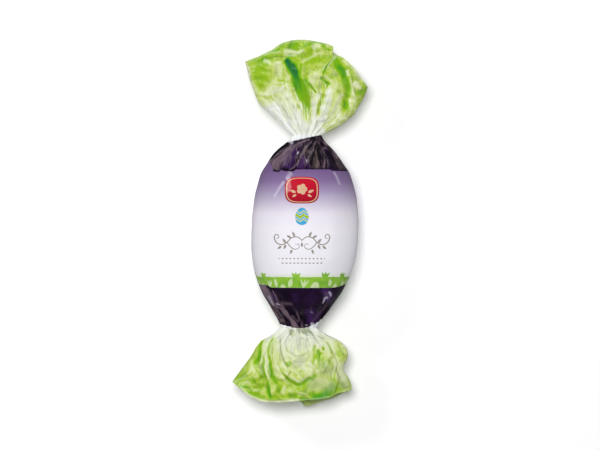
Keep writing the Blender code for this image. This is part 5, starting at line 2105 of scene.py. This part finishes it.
@dataclass(frozen=True)
class SoftBox:
    """A round light that points at the egg."""

    name: str
    place: tuple[float, float, float]
    size: float
    power: float
    mirrored: bool = True  # whether glossy film shows it

    def hang(self) -> None:
        """Hangs the light."""
        lamp = bpy.data.lights.new(self.name, "AREA")
        lamp.shape = "DISK"
        lamp.size = self.size
        lamp.energy = self.power
        light = bpy.data.objects.new(self.name, lamp)
        light.location = self.place
        light.visible_glossy = self.mirrored
        light.rotation_euler = (-light.location).to_track_quat("-Z", "Y").to_euler()
        bpy.context.scene.collection.objects.link(light)


@dataclass(frozen=True)
class Studio:
    """A white table under soft light, with the camera straight above the egg."""

    boxes: tuple[SoftBox, ...] = (
        SoftBox("overhead", (-0.085, 0.16, 1.25), 0.34, 11.6, False),
        SoftBox("left_strip", (-0.72, 0.55, 0.80), 0.24, 1.8),
        SoftBox("right_strip", (0.85, -0.15, 0.70), 0.50, 0.9),
    )
    dome: float = 0.14
    table_half: float = 2.0
    camera_height: float = 1.5
    view_width: float = 0.2592  # that the photograph spans at the egg's middle line
    view_middle: Point = (-0.00173, 0.00173)

    def table(self) -> None:
        """The table top."""
        mesh = bpy.data.meshes.new("table_top")
        half = self.table_half
        corners = [(-half, -half, 0), (half, -half, 0), (half, half, 0), (-half, half, 0)]
        mesh.from_pydata(corners, [], [(0, 1, 2, 3)])
        mesh.materials.append(TableFinish().material())
        top = bpy.data.objects.new("table_top", mesh)
        bpy.context.scene.collection.objects.link(top)
        top.visible_glossy = False

    def camera(self) -> None:
        """The camera, which looks straight down."""
        lens = bpy.data.cameras.new("camera")
        lens.sensor_width = 36.0
        lens.lens = lens.sensor_width * self.camera_height / self.view_width
        lens.clip_end = 20.0
        eye = bpy.data.objects.new("camera", lens)
        eye.location = (*self.view_middle, self.camera_height + AXIS_HEIGHT * MM)
        bpy.context.scene.collection.objects.link(eye)
        bpy.context.scene.camera = eye

    def build(self) -> None:
        """Sets up the table, the lights, the sky and the camera."""
        self.table()
        for box in self.boxes:
            box.hang()
        world = bpy.data.worlds.new("white_dome")
        world.use_nodes = True
        sky = world.node_tree.nodes["Background"]
        sky.inputs["Color"].default_value = (0.92, 0.90, 1.0, 1.0)
        sky.inputs["Strength"].default_value = self.dome
        bpy.context.scene.world = world
        self.camera()
        bpy.context.scene.view_settings.view_transform = "Standard"


def main() -> None:
    """Builds the studio, the wrapped egg and its two tails."""
    logging.basicConfig(level=logging.INFO)
    Studio().build()
    hand_over(WrappedEgg(LabelPrintFinish().material()).build(), "wrapped_egg")
    for tail in film_tails(LeafInkFinish().material()):
        hand_over(tail.build(), tail.node)


if __name__ == "__main__":
    main()
